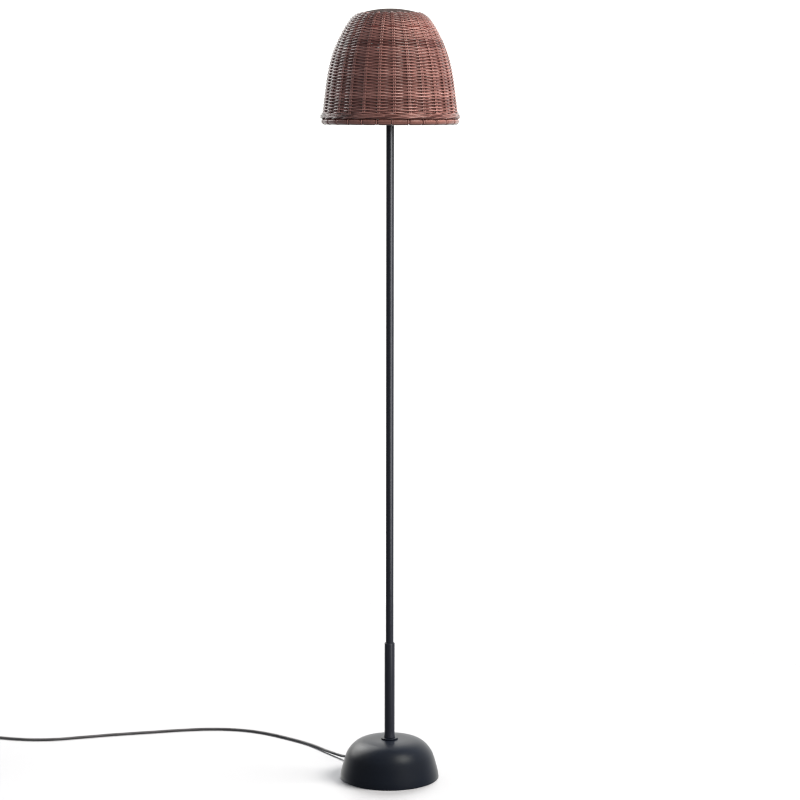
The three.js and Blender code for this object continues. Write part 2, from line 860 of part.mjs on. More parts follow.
function addShadeRings() {
  const outer = shadeRingBore + shadeRingWidth;
  const upperBottom = spiderTop + fitGap;
  const lower = ring(shadeRingBore, outer, shadeRingBottom, shadeRingBottom + shadeRingHeight, mediumSteps);
  const upper = ring(shadeRingBore, outer, upperBottom, upperBottom + shadeRingHeight, mediumSteps);
  add("shade_ring_lower", lower, plain(0x17171a, 0.4));
  add("shade_ring_upper", upper, plain(0x17171a, 0.4));
}

function addBulbCap() {
  const body = bulbBottom + bulbTipHeight;
  const socket = bulbGlassBottom - bulbNeckSink - fitGap;
  const profile = [
    [0, bulbBottom],
    [bulbTipRadius, bulbBottom],
    [bulbCapRadius, body],
    [bulbCapRadius, bulbGlassBottom],
    [bulbCapRadius - glassWall / 2, bulbGlassBottom],
    [bulbCapRadius - glassWall / 2, socket],
    [0, socket],
  ];
  add("bulb_cap", turned(profile, mediumSteps), metal(0xc9c6bd, 0.3));
}

// The glass: a neck in the cap, a waist and a round top
function addBulbGlobe() {
  const neck = bulbCapRadius - glassWall / 2 - fitGap;
  const foot = bulbGlassBottom + fitGap;
  const middle = bulbGlassBottom + bulbHeight - bulbRadius;
  const waist = bulbWaistShares.map(([radiusShare, heightShare]) => [
    Math.max(radiusShare * bulbRadius, neck),
    foot + heightShare * (middle - foot),
  ]);
  const dome = Array.from({ length: bulbDomeSteps + 1 }, (_, i) => {
    const angle = (Math.PI / 2) * (i / bulbDomeSteps);
    return [bulbRadius * Math.cos(angle), middle + bulbRadius * Math.sin(angle)];
  });
  const outer = [[neck, bulbGlassBottom - bulbNeckSink], ...waist, ...dome];
  outer[outer.length - 1][0] = 0;
  const inner = thinned(insetProfile(outer, glassWall));
  inner[0] = [neck - glassWall, bulbGlassBottom - bulbNeckSink];
  inner[inner.length - 1][0] = 0;
  const profile = [...inner.reverse(), ...outer];
  add("bulb_globe", turned(profile, mediumSteps), plain(0xf3efe6, 0.15));
}

function addBulbStem() {
  const bottom = bulbGlassBottom - bulbNeckSink;
  const profile = [
    [0, bottom],
    [bulbStemFoot, bottom],
    [bulbStemFoot - bulbStemRadius, bottom + bulbNeckSink],
    [bulbStemRadius, bottom + 3 * bulbNeckSink],
    [bulbStemRadius, bottom + bulbStemHeight],
    [0, bottom + bulbStemHeight],
  ];
  add("bulb_stem", turned(profile, screwSteps), plain(0xe9e4d2, 0.3));
}

// The wire frame: a flat ring on the lampholder, arms, and a hoop inside the rim
function addWireFrame() {
  const spider = ring(shadeRingBore, spiderRadius, spiderBottom, spiderTop, mediumSteps);
  const hoop = new THREE.TorusGeometry(frameRingRadius, wireRadius, wireSides, largeSteps);
  hoop.translate(0, 0, hoopMiddle);
  const innerEnd = spiderRadius - armWireRadius;
  const spiderMiddle = (spiderBottom + spiderTop) / 2;
  const drop = hoopMiddle - spiderMiddle;
  const reach = frameRingRadius - innerEnd;
  const armLength = Math.hypot(drop, reach);
  const arms = Array.from({ length: armCount }, (_, i) => {
    const arm = new THREE.CylinderGeometry(armWireRadius, armWireRadius, armLength, wireSides);
    arm.rotateZ(-Math.PI / 2).rotateY(-Math.atan2(drop, reach));
    arm.translate((innerEnd + frameRingRadius) / 2, 0, (spiderMiddle + hoopMiddle) / 2);
    return arm.rotateZ(armStart + (2 * Math.PI * i) / armCount);
  });
  add("wire_frame", joined(spider, hoop, ...arms), metal(0x2a2a2c, 0.5));
}

function addRimHoop() {
  const hoop = new THREE.TorusGeometry(hoopRingRadius, hoopRadius, hoopSides, largeSteps);
  add("rim_hoop", hoop.translate(0, 0, hoopMiddle), plain(0x7d4f40, 0.5));
}

// The twined band between the hoop and the weave
function addRimWale() {
  const profile = [
    [rimRadius - waleDepth, waleBottom],
    [rimRadius, waleBottom],
    [rimRadius + waleBulge, (waleBottom + waleTop) / 2],
    [rimRadius, waleTop],
    [rimRadius - waleDepth, waleTop],
  ];
  add("rim_wale", turned(profile, largeSteps), plain(0x6d4639, 0.6));
}

function weaveProfile() {
  return weaveShares.map(([heightShare, radiusShare]) => [
    radiusShare * rimRadius,
    weaveBottom + heightShare * (weaveTop - weaveBottom),
  ]);
}

// A profile of the weave that lies under its outside, square at the rim and at the crown
function weaveInset(depth) {
  const outer = weaveProfile();
  const inset = insetProfile(outer, depth);
  inset[0] = [outer[0][0] - depth, outer[0][1]];
  inset[inset.length - 1] = [outer.at(-1)[0], outer.at(-1)[1] - depth];
  return inset;
}

// The weave as one shell that bulges over each stake, open at the rim and round the crown
function addShadeWeave() {
  const inner = thinned(weaveInset(weaveWall)).reverse();
  const rib = [...weaveProfile(), ...inner];
  const valley = [...weaveInset(weaveRelief), ...inner];
  const shell = ribbed(rib, valley, stakeCount).rotateZ(stakeStart);
  add("shade_weave", shell, plain(0x8a5f52, 0.6));
}

function addCrown() {
  const edge = lampHeight - crownRise;
  const dome = crownShares.map((share) => [share * crownRadius, edge + crownRise * (1 - share * share)]);
  const profile = [[0, edge - crownEdge], [crownRadius, edge - crownEdge], ...dome, [0, lampHeight]];
  add("crown_disc", turned(profile, largeSteps), plain(0x7a5547, 0.35));
}

// The free cord from the bushing to the foot switch
function addCordRun() {
  const outward = new THREE.Vector3(Math.cos(cordAngle), Math.sin(cordAngle), 0);
  const start = outward.clone().multiplyScalar(reliefEnd + fitGap).setZ(bushingHeight);
  const afterStart = start.clone().addScaledVector(outward, cordDiameter);
  const switchEnd = switchY + switchLength / 2;
  const route = cordRoute.map((point) => new THREE.Vector3(...point));
  const gripEnd = new THREE.Vector3(switchX, switchEnd + reliefLength, switchMiddle);
  const beforeGrip = gripEnd.clone().setY(gripEnd.y + cordDiameter);
  const end = new THREE.Vector3(switchX, terminalFace(1) + fitGap, switchMiddle);
  add("cord_run", cordTube([start, afterStart, ...route, beforeGrip, gripEnd, end]), plain(0x2a2726, 0.7));
}

// Where a terminal meets the cord: at the far side (1) or the near side (-1) along Y
function terminalFace(way) {
  return switchY + way * (blockLength / 2 + terminalLength);
}

function switchOutline(inset) {
  const radius = switchWidth / 2 - inset;
  const straight = switchLength / 2 - switchWidth / 2;
  const shape = new THREE.Shape();
  shape.absarc(0, straight, radius, 0, Math.PI, false);
  shape.absarc(0, -straight, radius, Math.PI, 2 * Math.PI, false);
  shape.closePath();
  return shape;
}

// Holes for the two grips, along Y at the parting plane
function gripHoles() {
  const reach = switchLength / 2 + cutOverrun;
  const depth = switchWall + gripInside;
  const radius = cordRadius + fitGap + gripWall + fitGap;
  return [1, -1].map((way) => {
    const [from, to] = way > 0 ? [reach - depth, reach] : [-reach, depth - reach];
    return rodAlongY(radius, 0, switchMiddle, from, to, screwSteps);
  });
}

function switchScrewPlaces() {
  return [[switchScrewAcross, switchScrewAlong], [-switchScrewAcross, -switchScrewAlong]];
}

function switchFloorBottom() {
  return switchFloorGap + switchRecess;
}

function addSwitchBase() {
  const floorTop = switchFloorBottom() + switchFloor;
  const top = switchMiddle - fitGap / 2;
  const body = extruded(switchOutline(0), switchFloorGap, top - switchFloorGap, switchRoundSteps);
  const inside = switchOutline(switchWall);
  const upper = extruded(inside, floorTop, top - floorTop + cutOverrun, switchRoundSteps);
  const lowerBottom = switchFloorGap - cutOverrun;
  const lower = extruded(inside, lowerBottom, switchRecess + cutOverrun, switchRoundSteps);
  const holes = switchScrewPlaces().map(([x, y]) =>
    disc(switchScrewRadius + fitGap, switchFloorGap, floorTop + cutOverrun, screwSteps).translate(x, y, 0),
  );
  const shell = cut(body, upper, lower, ...gripHoles(), ...holes).translate(switchX, switchY, 0);
  add("switch_base", shell, plain(0x151516, 0.4));
}

function switchCoverTop() {
  return switchMiddle + switchCoverHeight;
}

function addSwitchCover() {
  const bottom = switchMiddle + fitGap / 2;
  const top = switchCoverTop();
  const roof = top - switchWall;
  const rounded = new THREE.ExtrudeGeometry(switchOutline(switchEdge), {
    depth: switchCoverHeight,
    bevelThickness: switchEdge,
    bevelSize: switchEdge,
    bevelSegments: switchEdgeSteps,
    curveSegments: switchRoundSteps,
  }).translate(0, 0, switchMiddle - switchEdge);
  const below = new THREE.BoxGeometry(2 * switchWidth, 2 * switchLength, 4 * switchEdge);
  below.translate(0, 0, bottom - 2 * switchEdge);
  const inside = switchOutline(switchWall);
  const hollow = extruded(inside, bottom - cutOverrun, roof - bottom + cutOverrun, switchRoundSteps);
  const buttonHole = disc(buttonRadius + buttonClearance, roof - cutOverrun, top + cutOverrun, mediumSteps);
  const posts = switchScrewPlaces().map(([x, y]) =>
    disc(switchPostRadius, bottom, roof + cutOverrun / 2, screwSteps).translate(x, y, 0),
  );
  const boreTop = switchFloorBottom() - fitGap + switchScrewLength + fitGap;
  const bores = switchScrewPlaces().map(([x, y]) =>
    disc(switchScrewRadius + fitGap, bottom - cutOverrun, boreTop, screwSteps).translate(x, y, 0),
  );
  const shell = cut(rounded, below, hollow, buttonHole);
  const body = cut(joined(shell, ...posts), ...bores, ...gripHoles());
  add("switch_cover", body.translate(switchX, switchY, 0), plain(0x151516, 0.4));
}

function addSwitchScrews() {
  const height = switchFloorBottom() - fitGap;
  const [head, headHeight] = [switchScrewHead, switchScrewHeadHeight];
  switchScrewPlaces().forEach(([x, y], i) => {
    const screw = screwUp(switchScrewRadius, head, headHeight, height, switchScrewLength);
    add(`switch_screw_${i + 1}`, screw, metal(0x8a8c90, 0.35)).position.set(switchX + x, switchY + y, 0);
  });
}

function addGrips() {
  const bore = cordRadius + fitGap;
  const wall = switchLength / 2;
  const profile = [
    [bore, wall - gripInside],
    [bore + gripWall, wall - gripInside],
    [bore + gripWall, wall + cordRadius],
    [bore + reliefEndWall, wall + reliefLength],
    [bore, wall + reliefLength],
  ];
  const place = [switchX, switchY, switchMiddle];
  const gripIn = turned(profile, smallSteps).rotateX(-Math.PI / 2);
  const gripOut = turned(profile, smallSteps).rotateX(Math.PI / 2);
  add("switch_grip_in", gripIn, plain(0x141415, 0.6)).position.set(...place);
  add("switch_grip_out", gripOut, plain(0x141415, 0.6)).position.set(...place);
}

function addSwitchContacts() {
  const floor = switchFloorBottom() + switchFloor + fitGap;
  const block = new THREE.BoxGeometry(blockWidth, blockLength - 2 * fitGap, blockHeight);
  block.translate(switchX, switchY, floor + blockHeight / 2);
  add("switch_contact_block", block, plain(0xcfc8b8, 0.5));
  for (const [name, way] of [["switch_terminal_in", 1], ["switch_terminal_out", -1]]) {
    const terminal = new THREE.BoxGeometry(terminalWidth, terminalLength, terminalHeight);
    const middle = switchY + way * (blockLength / 2 + terminalLength / 2);
    add(name, terminal, metal(0xc8a560, 0.3)).position.set(switchX, middle, floor + terminalHeight / 2);
  }
}

function buttonBottom() {
  return switchCoverTop() - switchWall - fitGap - buttonFlangeThickness;
}

function addSwitchSpring() {
  const bottom = switchFloorBottom() + switchFloor + fitGap + blockHeight + fitGap;
  const spring = disc(springRadius, bottom, buttonBottom() - fitGap, screwSteps);
  add("switch_spring", spring.translate(switchX, switchY, 0), metal(0xa8aaad, 0.3));
}

// The button moves down by its travel
function addSwitchButton() {
  const bottom = buttonBottom();
  const flangeTop = bottom + buttonFlangeThickness;
  const top = switchCoverTop() + buttonTravel + buttonRest;
  const profile = [
    [0, bottom],
    [buttonRadius + buttonFlange, bottom],
    [buttonRadius + buttonFlange, flangeTop],
    [buttonRadius, flangeTop],
    [buttonRadius, top - buttonRound],
    [buttonRadius - buttonRound / 3, top - buttonRound / 3],
    [buttonRadius - buttonRound, top],
    [0, top],
  ];
  const button = add("switch_button", turned(profile, mediumSteps), plain(0x232325, 0.35));
  button.position.set(switchX, switchY, 0);
}

// The free cord from the foot switch to the coil
function addCordTail() {
  const start = new THREE.Vector3(switchX, terminalFace(-1) - fitGap, switchMiddle);
  const gripEndY = switchY - switchLength / 2 - reliefLength;
  const gripEnd = new THREE.Vector3(switchX, gripEndY, switchMiddle);
  const end = new THREE.Vector3(switchX, coilY + cordDiameter + fitGap, coilLowLayer);
  const low = end.clone().setY(end.y + 2 * cordDiameter);
  const afterGrip = gripEnd.clone().setY(gripEndY - cordDiameter);
  const middle = afterGrip.clone().lerp(low, 0.5);
  add("cord_tail", cordTube([start, gripEnd, afterGrip, middle, low, end]), plain(0x2a2726, 0.7));
}

// Centres of the coil: a spiral in, a climb where it turns back, and a spiral out, with straight ends
function coilCentres() {
  const turns = 2 * coilTurnsPerLayer;
  const steps = turns * coilLoopSteps;
  const centres = [new THREE.Vector3(switchX, coilY + cordDiameter, coilLowLayer)];
  for (let i = 0; i <= steps; i += 1) {
    const turn = i / coilLoopSteps;
    const fromMiddle = turn - coilTurnsPerLayer;
    const radius = coilInnerRadius + coilPitch * Math.abs(fromMiddle);
    const climb = THREE.MathUtils.clamp(2 * fromMiddle + 0.5, 0, 1);
    const height = coilLowLayer + coilLayerPitch * THREE.MathUtils.smoothstep(climb, 0, 1);
    const angle = Math.PI + 2 * Math.PI * turn;
    const [x, y] = [radius * Math.cos(angle), radius * Math.sin(angle)];
    centres.push(new THREE.Vector3(coilX + x, coilY + y, height));
  }
  centres.push(new THREE.Vector3(switchX, coilEndY, coilTopLayer));
  return centres;
}

// The least gap of the coil to itself, measured between centres more than half a loop apart
function coilLeastGap(centres) {
  let least = Infinity;
  centres.forEach((centre, i) => {
    for (let k = i + coilLoopSteps / 2; k < centres.length; k += 1) {
      least = Math.min(least, centre.distanceTo(centres[k]) - cordDiameter);
    }
  });
  return least;
}

function addCordCoil() {
  const centres = coilCentres();
  console.log(`Least gap of the coil to itself: ${coilLeastGap(centres).toFixed(2)} mm`);
  add("cord_coil", sweptTube(centres, cordRadius, coilSides), plain(0x2a2726, 0.7));
}

// A flat strap round both layers, on the side away from the switch
function addCoilTie() {
  const loopsBefore = 0.5; // half a loop from the ends to the tie's side
  const innermost = coilInnerRadius + loopsBefore * coilPitch - cordRadius - tieSideGap;
  const outermost = coilOuterRadius - loopsBefore * coilPitch + cordRadius + tieSideGap;
  const bottom = tieFloorGap + tieThickness;
  const top = coilTopLayer + cordRadius + fitGap;
  const rectangle = (shape, wall) => {
    shape.moveTo(innermost - wall, bottom - wall);
    shape.lineTo(outermost + wall, bottom - wall);
    shape.lineTo(outermost + wall, top + wall);
    shape.lineTo(innermost - wall, top + wall);
    shape.closePath();
    return shape;
  };
  const band = rectangle(new THREE.Shape(), tieThickness);
  band.holes.push(rectangle(new THREE.Path(), 0));
  const strap = extruded(band, -tieWidth / 2, tieWidth).rotateX(Math.PI / 2);
  add("coil_tie", strap.translate(coilX, coilY, 0), plain(0x1c1b1b, 0.8));
}

function addPlugLead() {
  const start = new THREE.Vector3(switchX, coilEndY - fitGap, coilTopLayer);
  const end = new THREE.Vector3(switchX, bootEndY + fitGap, plugMiddle);
  const afterStart = start.clone().setY(start.y - cordDiameter);
  const beforeEnd = end.clone().setY(end.y + cordDiameter);
  add("cord_plug_lead", cordTube([start, afterStart, beforeEnd, end]), plain(0x2a2726, 0.7));
}

// A flat two-pin plug on its side, with its pins away from the coil
function addPlug() {
  const wide = plugWidth / 2 - plugEdge;
  const neck = plugNeckWidth / 2 - plugEdge;
  const back = plugBackY - plugEdge;
  const face = plugFaceY + plugEdge;
  const shoulder = back - plugLength / 3;
  const shape = new THREE.Shape();
  shape.moveTo(-wide, face);
  shape.lineTo(wide, face);
  shape.lineTo(wide, shoulder);
  shape.lineTo(neck, back);
  shape.lineTo(-neck, back);
  shape.lineTo(-wide, shoulder);
  shape.closePath();
  const body = new THREE.ExtrudeGeometry(shape, {
    depth: plugThickness - 2 * plugEdge,
    bevelThickness: plugEdge,
    bevelSize: plugEdge,
    bevelSegments: 2,
  }).translate(0, 0, plugFloorGap + plugEdge);
  const bootFoot = reliefLength + plugEdge;
  const [thin, thick] = [cordRadius + reliefEndWall, cordRadius + bootWall];
  const boot = new THREE.CylinderGeometry(thin, thick, bootFoot, smallSteps);
  boot.translate(0, bootEndY - bootFoot / 2, plugMiddle);
  const pinX = pinSpacing / 2;
  const holeEnd = plugFaceY + pinSink;
  const pinHoles = [-pinX, pinX].map((x) =>
    rodAlongY(pinRadius + fitGap, x, plugMiddle, plugFaceY - cutOverrun, holeEnd, screwSteps),
  );
  add("plug_body", cut(joined(body, boot), ...pinHoles).translate(switchX, 0, 0), plain(0x151516, 0.4));
  [-pinX, pinX].forEach((x, i) => {
    const pin = rodAlongY(pinRadius, x, plugMiddle, plugFaceY - pinLength, holeEnd - fitGap, screwSteps);
    add(`plug_pin_${i + 1}`, pin, metal(0xc9c6bd, 0.25)).position.set(switchX, 0, 0);
  });
}

addBaseDome();
addFootRing();
addBaseCover();
addCoverScrews();
addBallast();
addTieRod();
addWasherAndNut();
addCordBushing();
addCordClamp();
addInnerLead();
addCollar();
addLowerSleeve();
addStemInserts();
addUpperPole();
addHolderNipple();
addHolderCap();
addHolderShell();
addHolderCore();
addContacts();
addShadeRings();
addBulbCap();
addBulbGlobe();
addBulbStem();
addWireFrame();
addRimHoop();
addRimWale();
addShadeWeave();
addCrown();
addCordRun();
addSwitchBase();
addSwitchCover();
addSwitchScrews();
addGrips();
addSwitchContacts();
addSwitchSpring();
addSwitchButton();
addCordTail();
addCordCoil();
addCoilTie();
addPlugLead();
addPlug();

export default lamp;
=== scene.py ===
"""The looks of a rattan floor lamp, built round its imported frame. Metres, +Z up, the lamp's axis is Z."""

import math
import random

import bmesh
import bpy
import numpy as np
from mathutils import Matrix, Vector, noise


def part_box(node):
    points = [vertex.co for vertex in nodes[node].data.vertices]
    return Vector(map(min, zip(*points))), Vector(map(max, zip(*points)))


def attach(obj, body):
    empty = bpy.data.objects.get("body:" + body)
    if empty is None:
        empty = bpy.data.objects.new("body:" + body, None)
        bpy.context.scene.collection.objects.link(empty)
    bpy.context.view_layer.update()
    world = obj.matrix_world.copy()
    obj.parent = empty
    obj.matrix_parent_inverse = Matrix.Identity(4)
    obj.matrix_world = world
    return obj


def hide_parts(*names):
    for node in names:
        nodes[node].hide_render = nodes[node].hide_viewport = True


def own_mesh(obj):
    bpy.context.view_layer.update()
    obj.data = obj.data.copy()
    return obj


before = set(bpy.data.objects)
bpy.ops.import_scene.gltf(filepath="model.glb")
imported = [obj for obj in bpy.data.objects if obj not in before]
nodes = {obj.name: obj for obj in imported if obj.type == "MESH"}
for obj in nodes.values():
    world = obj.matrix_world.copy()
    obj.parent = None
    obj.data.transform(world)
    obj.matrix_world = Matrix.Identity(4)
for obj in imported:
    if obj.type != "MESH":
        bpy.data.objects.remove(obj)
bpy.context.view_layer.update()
chance = random.Random(27)

MM = 0.001
TURN = 2 * math.pi
SAME_PLACE = 0.002 * MM  # points nearer each other than this are merged
PIECE_GAP = 0.3 * MM  # between pieces that touch

# Where the photograph was taken from, and its lens
CAMERA_PLACE = (0.0196, -4.408, 1.331)
CAMERA_PITCH = 7.5  # degrees below the horizon
CAMERA_ROLL = 0.09  # degrees
SENSOR_WIDTH = 36.0
LENS = 103.37
PICTURE_SOFTNESS = 1.1  # pixels

# Studio. A direction is given as the way from the lamp.
SUNS = [  # way, strength, spread in degrees and colour, and whether it lights matt and glossy surfaces
    ("key_sun", (0.682, -0.024, 0.731), 5.9, 28.0, (1.0, 0.965, 0.925), True, False),
    ("fill_sun", (0.654, -0.727, 0.208), 2.45, 50.0, (1.0, 0.965, 0.925), True, False),
    ("back_sun", (0.08, 0.739, 0.669), 4.8, 32.0, (1.0, 0.995, 0.985), True, False),
    ("side_sun", (-0.85, -0.3, 0.43), 0.6, 60.0, (0.92, 0.96, 1.05), True, False),
    ("left_box_core", (-0.527, 0.586, 0.616), 0.32, 24.0, (1.0, 1.0, 0.98), False, True),
    ("left_box", (-0.527, 0.586, 0.616), 1.13, 50.0, (1.0, 0.995, 0.96), False, True),
    ("right_box_core", (0.492, -0.371, 0.788), 0.15, 18.0, (1.0, 1.0, 0.92), False, True),
    ("right_box", (0.492, -0.371, 0.788), 0.38, 34.0, (1.0, 1.0, 0.92), False, True),
]
ROOM_GLOW = 0.1
ROOM_TINT = (0.94, 0.98, 1.07)
WALL_TINT = (1.0, 1.0, 0.975)
WALL_GLOW = 1.08
WALL_FALL = 1.7  # how fast the wall's glow fades to its sides
WHITE_GLOW = 1.2  # of what the camera sees round the lamp
FLOOR_RADIUS = 1.5
FLOOR_WHITE = (0.357, 0.361, 0.37)
FLOOR_PALE = (0.352, 0.356, 0.365)
FLOOR_MIDDLE = (-0.3, 0.1, 0.0)
STRIP_PLACE = (0.445, -0.474)  # X and Y
STEM_STRIPS = [  # height of its middle, width, height and power
    (0.74, 0.5, 1.2, 5.6),
    (1.23, 0.5, 0.42, 4.0),
]

# Cord. Its route is the one that the part's source gives it, in millimetres.
CORD_DIAMETER = 5.6 * MM
CORD_STEP = 6 * MM
CORD_ANGLE = math.radians(128)
CORD_ROUTE = [
    (-93.3, 116, 6.9), (-125.6, 159, 4.2), (-165.6, 214.9, 3), (-215.6, 262.5, 3), (-266, 301.1, 3),
    (-316, 323.2, 3), (-374.8, 330.7, 3), (-437.2, 322.5, 3), (-508.2, 305.1, 3), (-578.8, 287.1, 3),
    (-648.1, 265.4, 3), (-694.1, 251.5, 3), (-741.5, 247.5, 3), (-785.5, 254, 3), (-815.9, 262.9, 3),
    (-838, 266, 3), (-858, 260, 3), (-872, 246, 4.2), (-879, 227, 7.5),
]
SWITCH_X = -880 * MM
SWITCH_MIDDLE = 9.2 * MM
TERMINAL_REACH = 17 * MM  # of the switch's terminals from its middle, along Y
COIL_MIDDLE = (-842.4 * MM, 10 * MM)
COIL_LOW = 4.0 * MM
COIL_LAYER = 6.3 * MM
COIL_INNER = 24.8 * MM
COIL_PITCH = 6.4 * MM
COIL_TURNS = 2  # in each layer
COIL_STEPS = 48  # in a turn
PLUG_MIDDLE = 7.05 * MM

# Base shell, from its foot to its flat top, as shares of its radius and height
DOME_SHARES = [
    (1, 0), (0.989, 0.12), (0.964, 0.25), (0.938, 0.37), (0.909, 0.5), (0.873, 0.62), (0.826, 0.72),
    (0.775, 0.8), (0.72, 0.865), (0.648, 0.925), (0.556, 0.968), (0.42, 0.993), (0.2, 1),
]
SHEET_WALL = 1.6 * MM
TIE_ROD_HOLE = 5.3 * MM  # radius

# Stem
SLEEVE_RADIUS = 10 * MM
SLEEVE_BORE = 8.6 * MM
SLEEVE_RIM = 1.2 * MM
SLEEVE_FLARE = [(0.5, 4.5), (0.2, 8.5), (0, 13)]  # how far out and how high, in millimetres
LIP_CHAMFER = 0.7 * MM
POLE_BORE = 6.3 * MM

# Outside of the weave, as shares of its height and its widest radius
WEAVE_SHARES = [
    (0, 1), (0.119, 0.9778), (0.237, 0.9556), (0.355, 0.9304), (0.472, 0.8971), (0.59, 0.8496),
    (0.708, 0.78), (0.768, 0.7346), (0.825, 0.6912), (0.883, 0.6377), (0.943, 0.5711), (0.974, 0.5126),
    (0.991, 0.4662), (1, 0.4279),
]
STAKES = 27  # an odd number, so that one weaver alternates from round to round
STAKE_PITCH = TURN / STAKES
STAKE_START = math.radians(-86.2)  # the stake next to the middle of the front
STAKE_ROD = 1.5 * MM  # radius of each of a stake's two rods
STAKE_PROUD = 0.9 * MM  # of the middle of the weave's thickness
STAKE_SPREAD = 1.65 * MM  # of the rods from the stake's middle
STAKE_FOOT = -8.5 * MM  # where it begins along the outline
STAKE_EXTRA = 8 * MM  # of its length over the outline's
STAKE_NARROWS = 75 * MM  # the radius within which its rods draw together
STAKE_WANDER = 0.004  # radians
WEAVER = 1.62 * MM  # radius
WEAVER_SWING = 2.3 * MM
WEAVER_TURNS = (3.5, 6.0)  # round the lamp, of the shortest and the longest length of cane
WEAVER_UNEVEN = 0.08  # a share of its thickness
LEAST_TURNS = 2  # left over for a last length
OVERLAP = 0.35  # of two lengths, in stakes
END_TUCK = 1.6 * MM  # of a length's start behind the outside
END_LIFT = 1.1 * MM  # of its cut end
TUCK_POINTS = 3  # over which the tuck fades
LIFT_POINTS = 2
WEAVE_PROUD = 0.9 * MM  # of the crests beyond the CAD outline, which is a mean one
WEAVE_MIDDLE = WEAVE_PROUD - WEAVER - WEAVER_SWING
WEAVE_FOOT = -1.0 * MM
WEAVE_DROP = 3.8 * MM  # of the last round from the outline's end
ROW_PITCH = 2.88 * MM
ROW_WANDER = 0.8 * MM  # up and down
DEPTH_WANDER = 0.35 * MM  # in and out
CLOSING = 70 * MM  # along the outline, where the weavers begin to swing less
CLOSED = 60 * MM  # further on, where they swing least
SWING_LOSS = 0.34  # a share of their swing
CANE_STIFFNESS = 1.15
WANDER_WAVES = 3.1  # more for more waves round the lamp
ROW_WAVES = 0.07  # less for rows that are more alike
POINTS_PER_STAKE = 6
START_TURN = 0.5  # the weavers begin and end at the back
RED_HEIGHT = 1463 * MM  # of the redder turn high on the shade
RED_TONE = 0.4
TOP_FAIREST = 0.7  # of the tones above it, kept darker as painted shade on the lamp shade's top

# Border over the hoop: each row's place along the outline, and how far it stands out
BORDER_ROWS = [(-5.4 * MM, 1.9 * MM), (-1.2 * MM, 0.4 * MM)]
BORDER_ROD = 1.85 * MM  # radius
BORDER_RISE = 2.4 * MM
BORDER_SWING = WEAVER_SWING + 0.5 * MM
BORDER_WANDER = 0.5 * MM
BORDER_BEND = 3.2  # how sharply a strand bends over a stake

# Hoop and crown
HOOP_RADIUS = 125 * MM
HOOP_THICK = 6 * MM
HOOP_POINTS = 42  # for each stake
HOOP_PINCH = 0.3  # under a lashing, as a share of its thickness
HOOP_UNEVEN = 0.02  # also a share of its thickness
HOOP_TONE = 0.62
LASHING = 1.3 * MM  # radius of its cane
LASHING_PROUD = 0.3 * MM  # of the hoop
LASHING_ASIDE = 1.5  # degrees from its stake
CROWN_RISE = 8 * MM
CROWN_LIP = 2.8 * MM  # of its foot under the last rows
CROWN_LIP_EDGE = 0.6 * MM
CROWN_LIP_HIGH = 1.8 * MM


def box_middle(node):
    low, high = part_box(node)
    return (low + high) / 2


def smooth_line(points, spacing):
    """Points about that far apart on a smooth line through the given ones."""
    points = [Vector(point) for point in points]
    ends = [2 * points[0] - points[1], *points, 2 * points[-1] - points[-2]]
    line = []
    for p0, p1, p2, p3 in zip(ends, ends[1:], ends[2:], ends[3:]):
        t1 = (p1 - p0).length ** 0.5
        t2 = t1 + (p2 - p1).length ** 0.5
        t3 = t2 + (p3 - p2).length ** 0.5
        steps = max(1, round((p2 - p1).length / spacing))
        for i in range(steps):
            t = t1 + (t2 - t1) * i / steps
            a1 = p0.lerp(p1, t / t1)
            a2 = p1.lerp(p2, (t - t1) / (t2 - t1))
            a3 = p2.lerp(p3, (t - t2) / (t3 - t2))
            b1 = a1.lerp(a2, t / t2)
            b2 = a2.lerp(a3, (t - t1) / (t3 - t1))
            line.append(b1.lerp(b2, (t - t1) / (t2 - t1)))
    return [*line, points[-1]]


def distances_along(points):
    """How far along the line each of its points lies."""
    steps = [(b - a).length for a, b in zip(points, points[1:])]
    return np.concatenate([[0.0], np.cumsum(steps)])


def line_length(points):
    return float(distances_along(points)[-1])


def kept_in(value):
    """The value, or the nearer of 0 and 1 where it lies outside them."""
    return min(max(value, 0.0), 1.0)


def around(angle, radius, height, middle=(0, 0)):
    """The point at that angle on a level circle."""
    return Vector((middle[0] + radius * math.cos(angle), middle[1] + radius * math.sin(angle), height))


def circle(count, radius, height, middle=(0, 0)):
    return [around(TURN * i / count, radius, height, middle) for i in range(count)]


def quarter_round(x, z, radius, steps=6):
    """A quarter circle about that middle, from its side to its top."""
    angles = [math.pi / 2 * i / steps for i in range(steps + 1)]
    return [(x + radius * math.cos(angle), z + radius * math.sin(angle)) for angle in angles]


def ring_section(bore, radius, low, high):
    return [(bore, low), (radius, low), (radius, high), (bore, high)]


class Number:
    """A number that a node gives, so that maths on it is written as an expression."""

    def __init__(self, finish, socket):
        self.finish = finish
        self.socket = socket

    def maths(self, operation, first, second):
        node = self.finish.node("ShaderNodeMath", {"operation": operation}, {0: first, 1: second})
        return Number(self.finish, node.outputs[0])

    def __add__(self, other):
        return self.maths("ADD", self, other)

    def __sub__(self, other):
        return self.maths("SUBTRACT", self, other)

    def __rsub__(self, other):
        return self.maths("SUBTRACT", other, self)

    def __mul__(self, other):
        return self.maths("MULTIPLY", self, other)

    def __pow__(self, power):
        return self.maths("POWER", self, power)

    __radd__ = __add__
    __rmul__ = __mul__

    def apply(self, operation, other=0.0):
        """The result of an operation that has no sign of its own, such as SINE or MAXIMUM."""
        return self.maths(operation, self, other)

    def between(self, low, high, to_low=0.0, to_high=1.0):
        """Rises smoothly from one result to the other as the number goes from low to high."""
        settings = {"interpolation_type": "SMOOTHSTEP"}
        sockets = {"Value": self, "From Min": low, "From Max": high, "To Min": to_low, "To Max": to_high}
        return Number(self.finish, self.finish.node("ShaderNodeMapRange", settings, sockets).outputs[0])


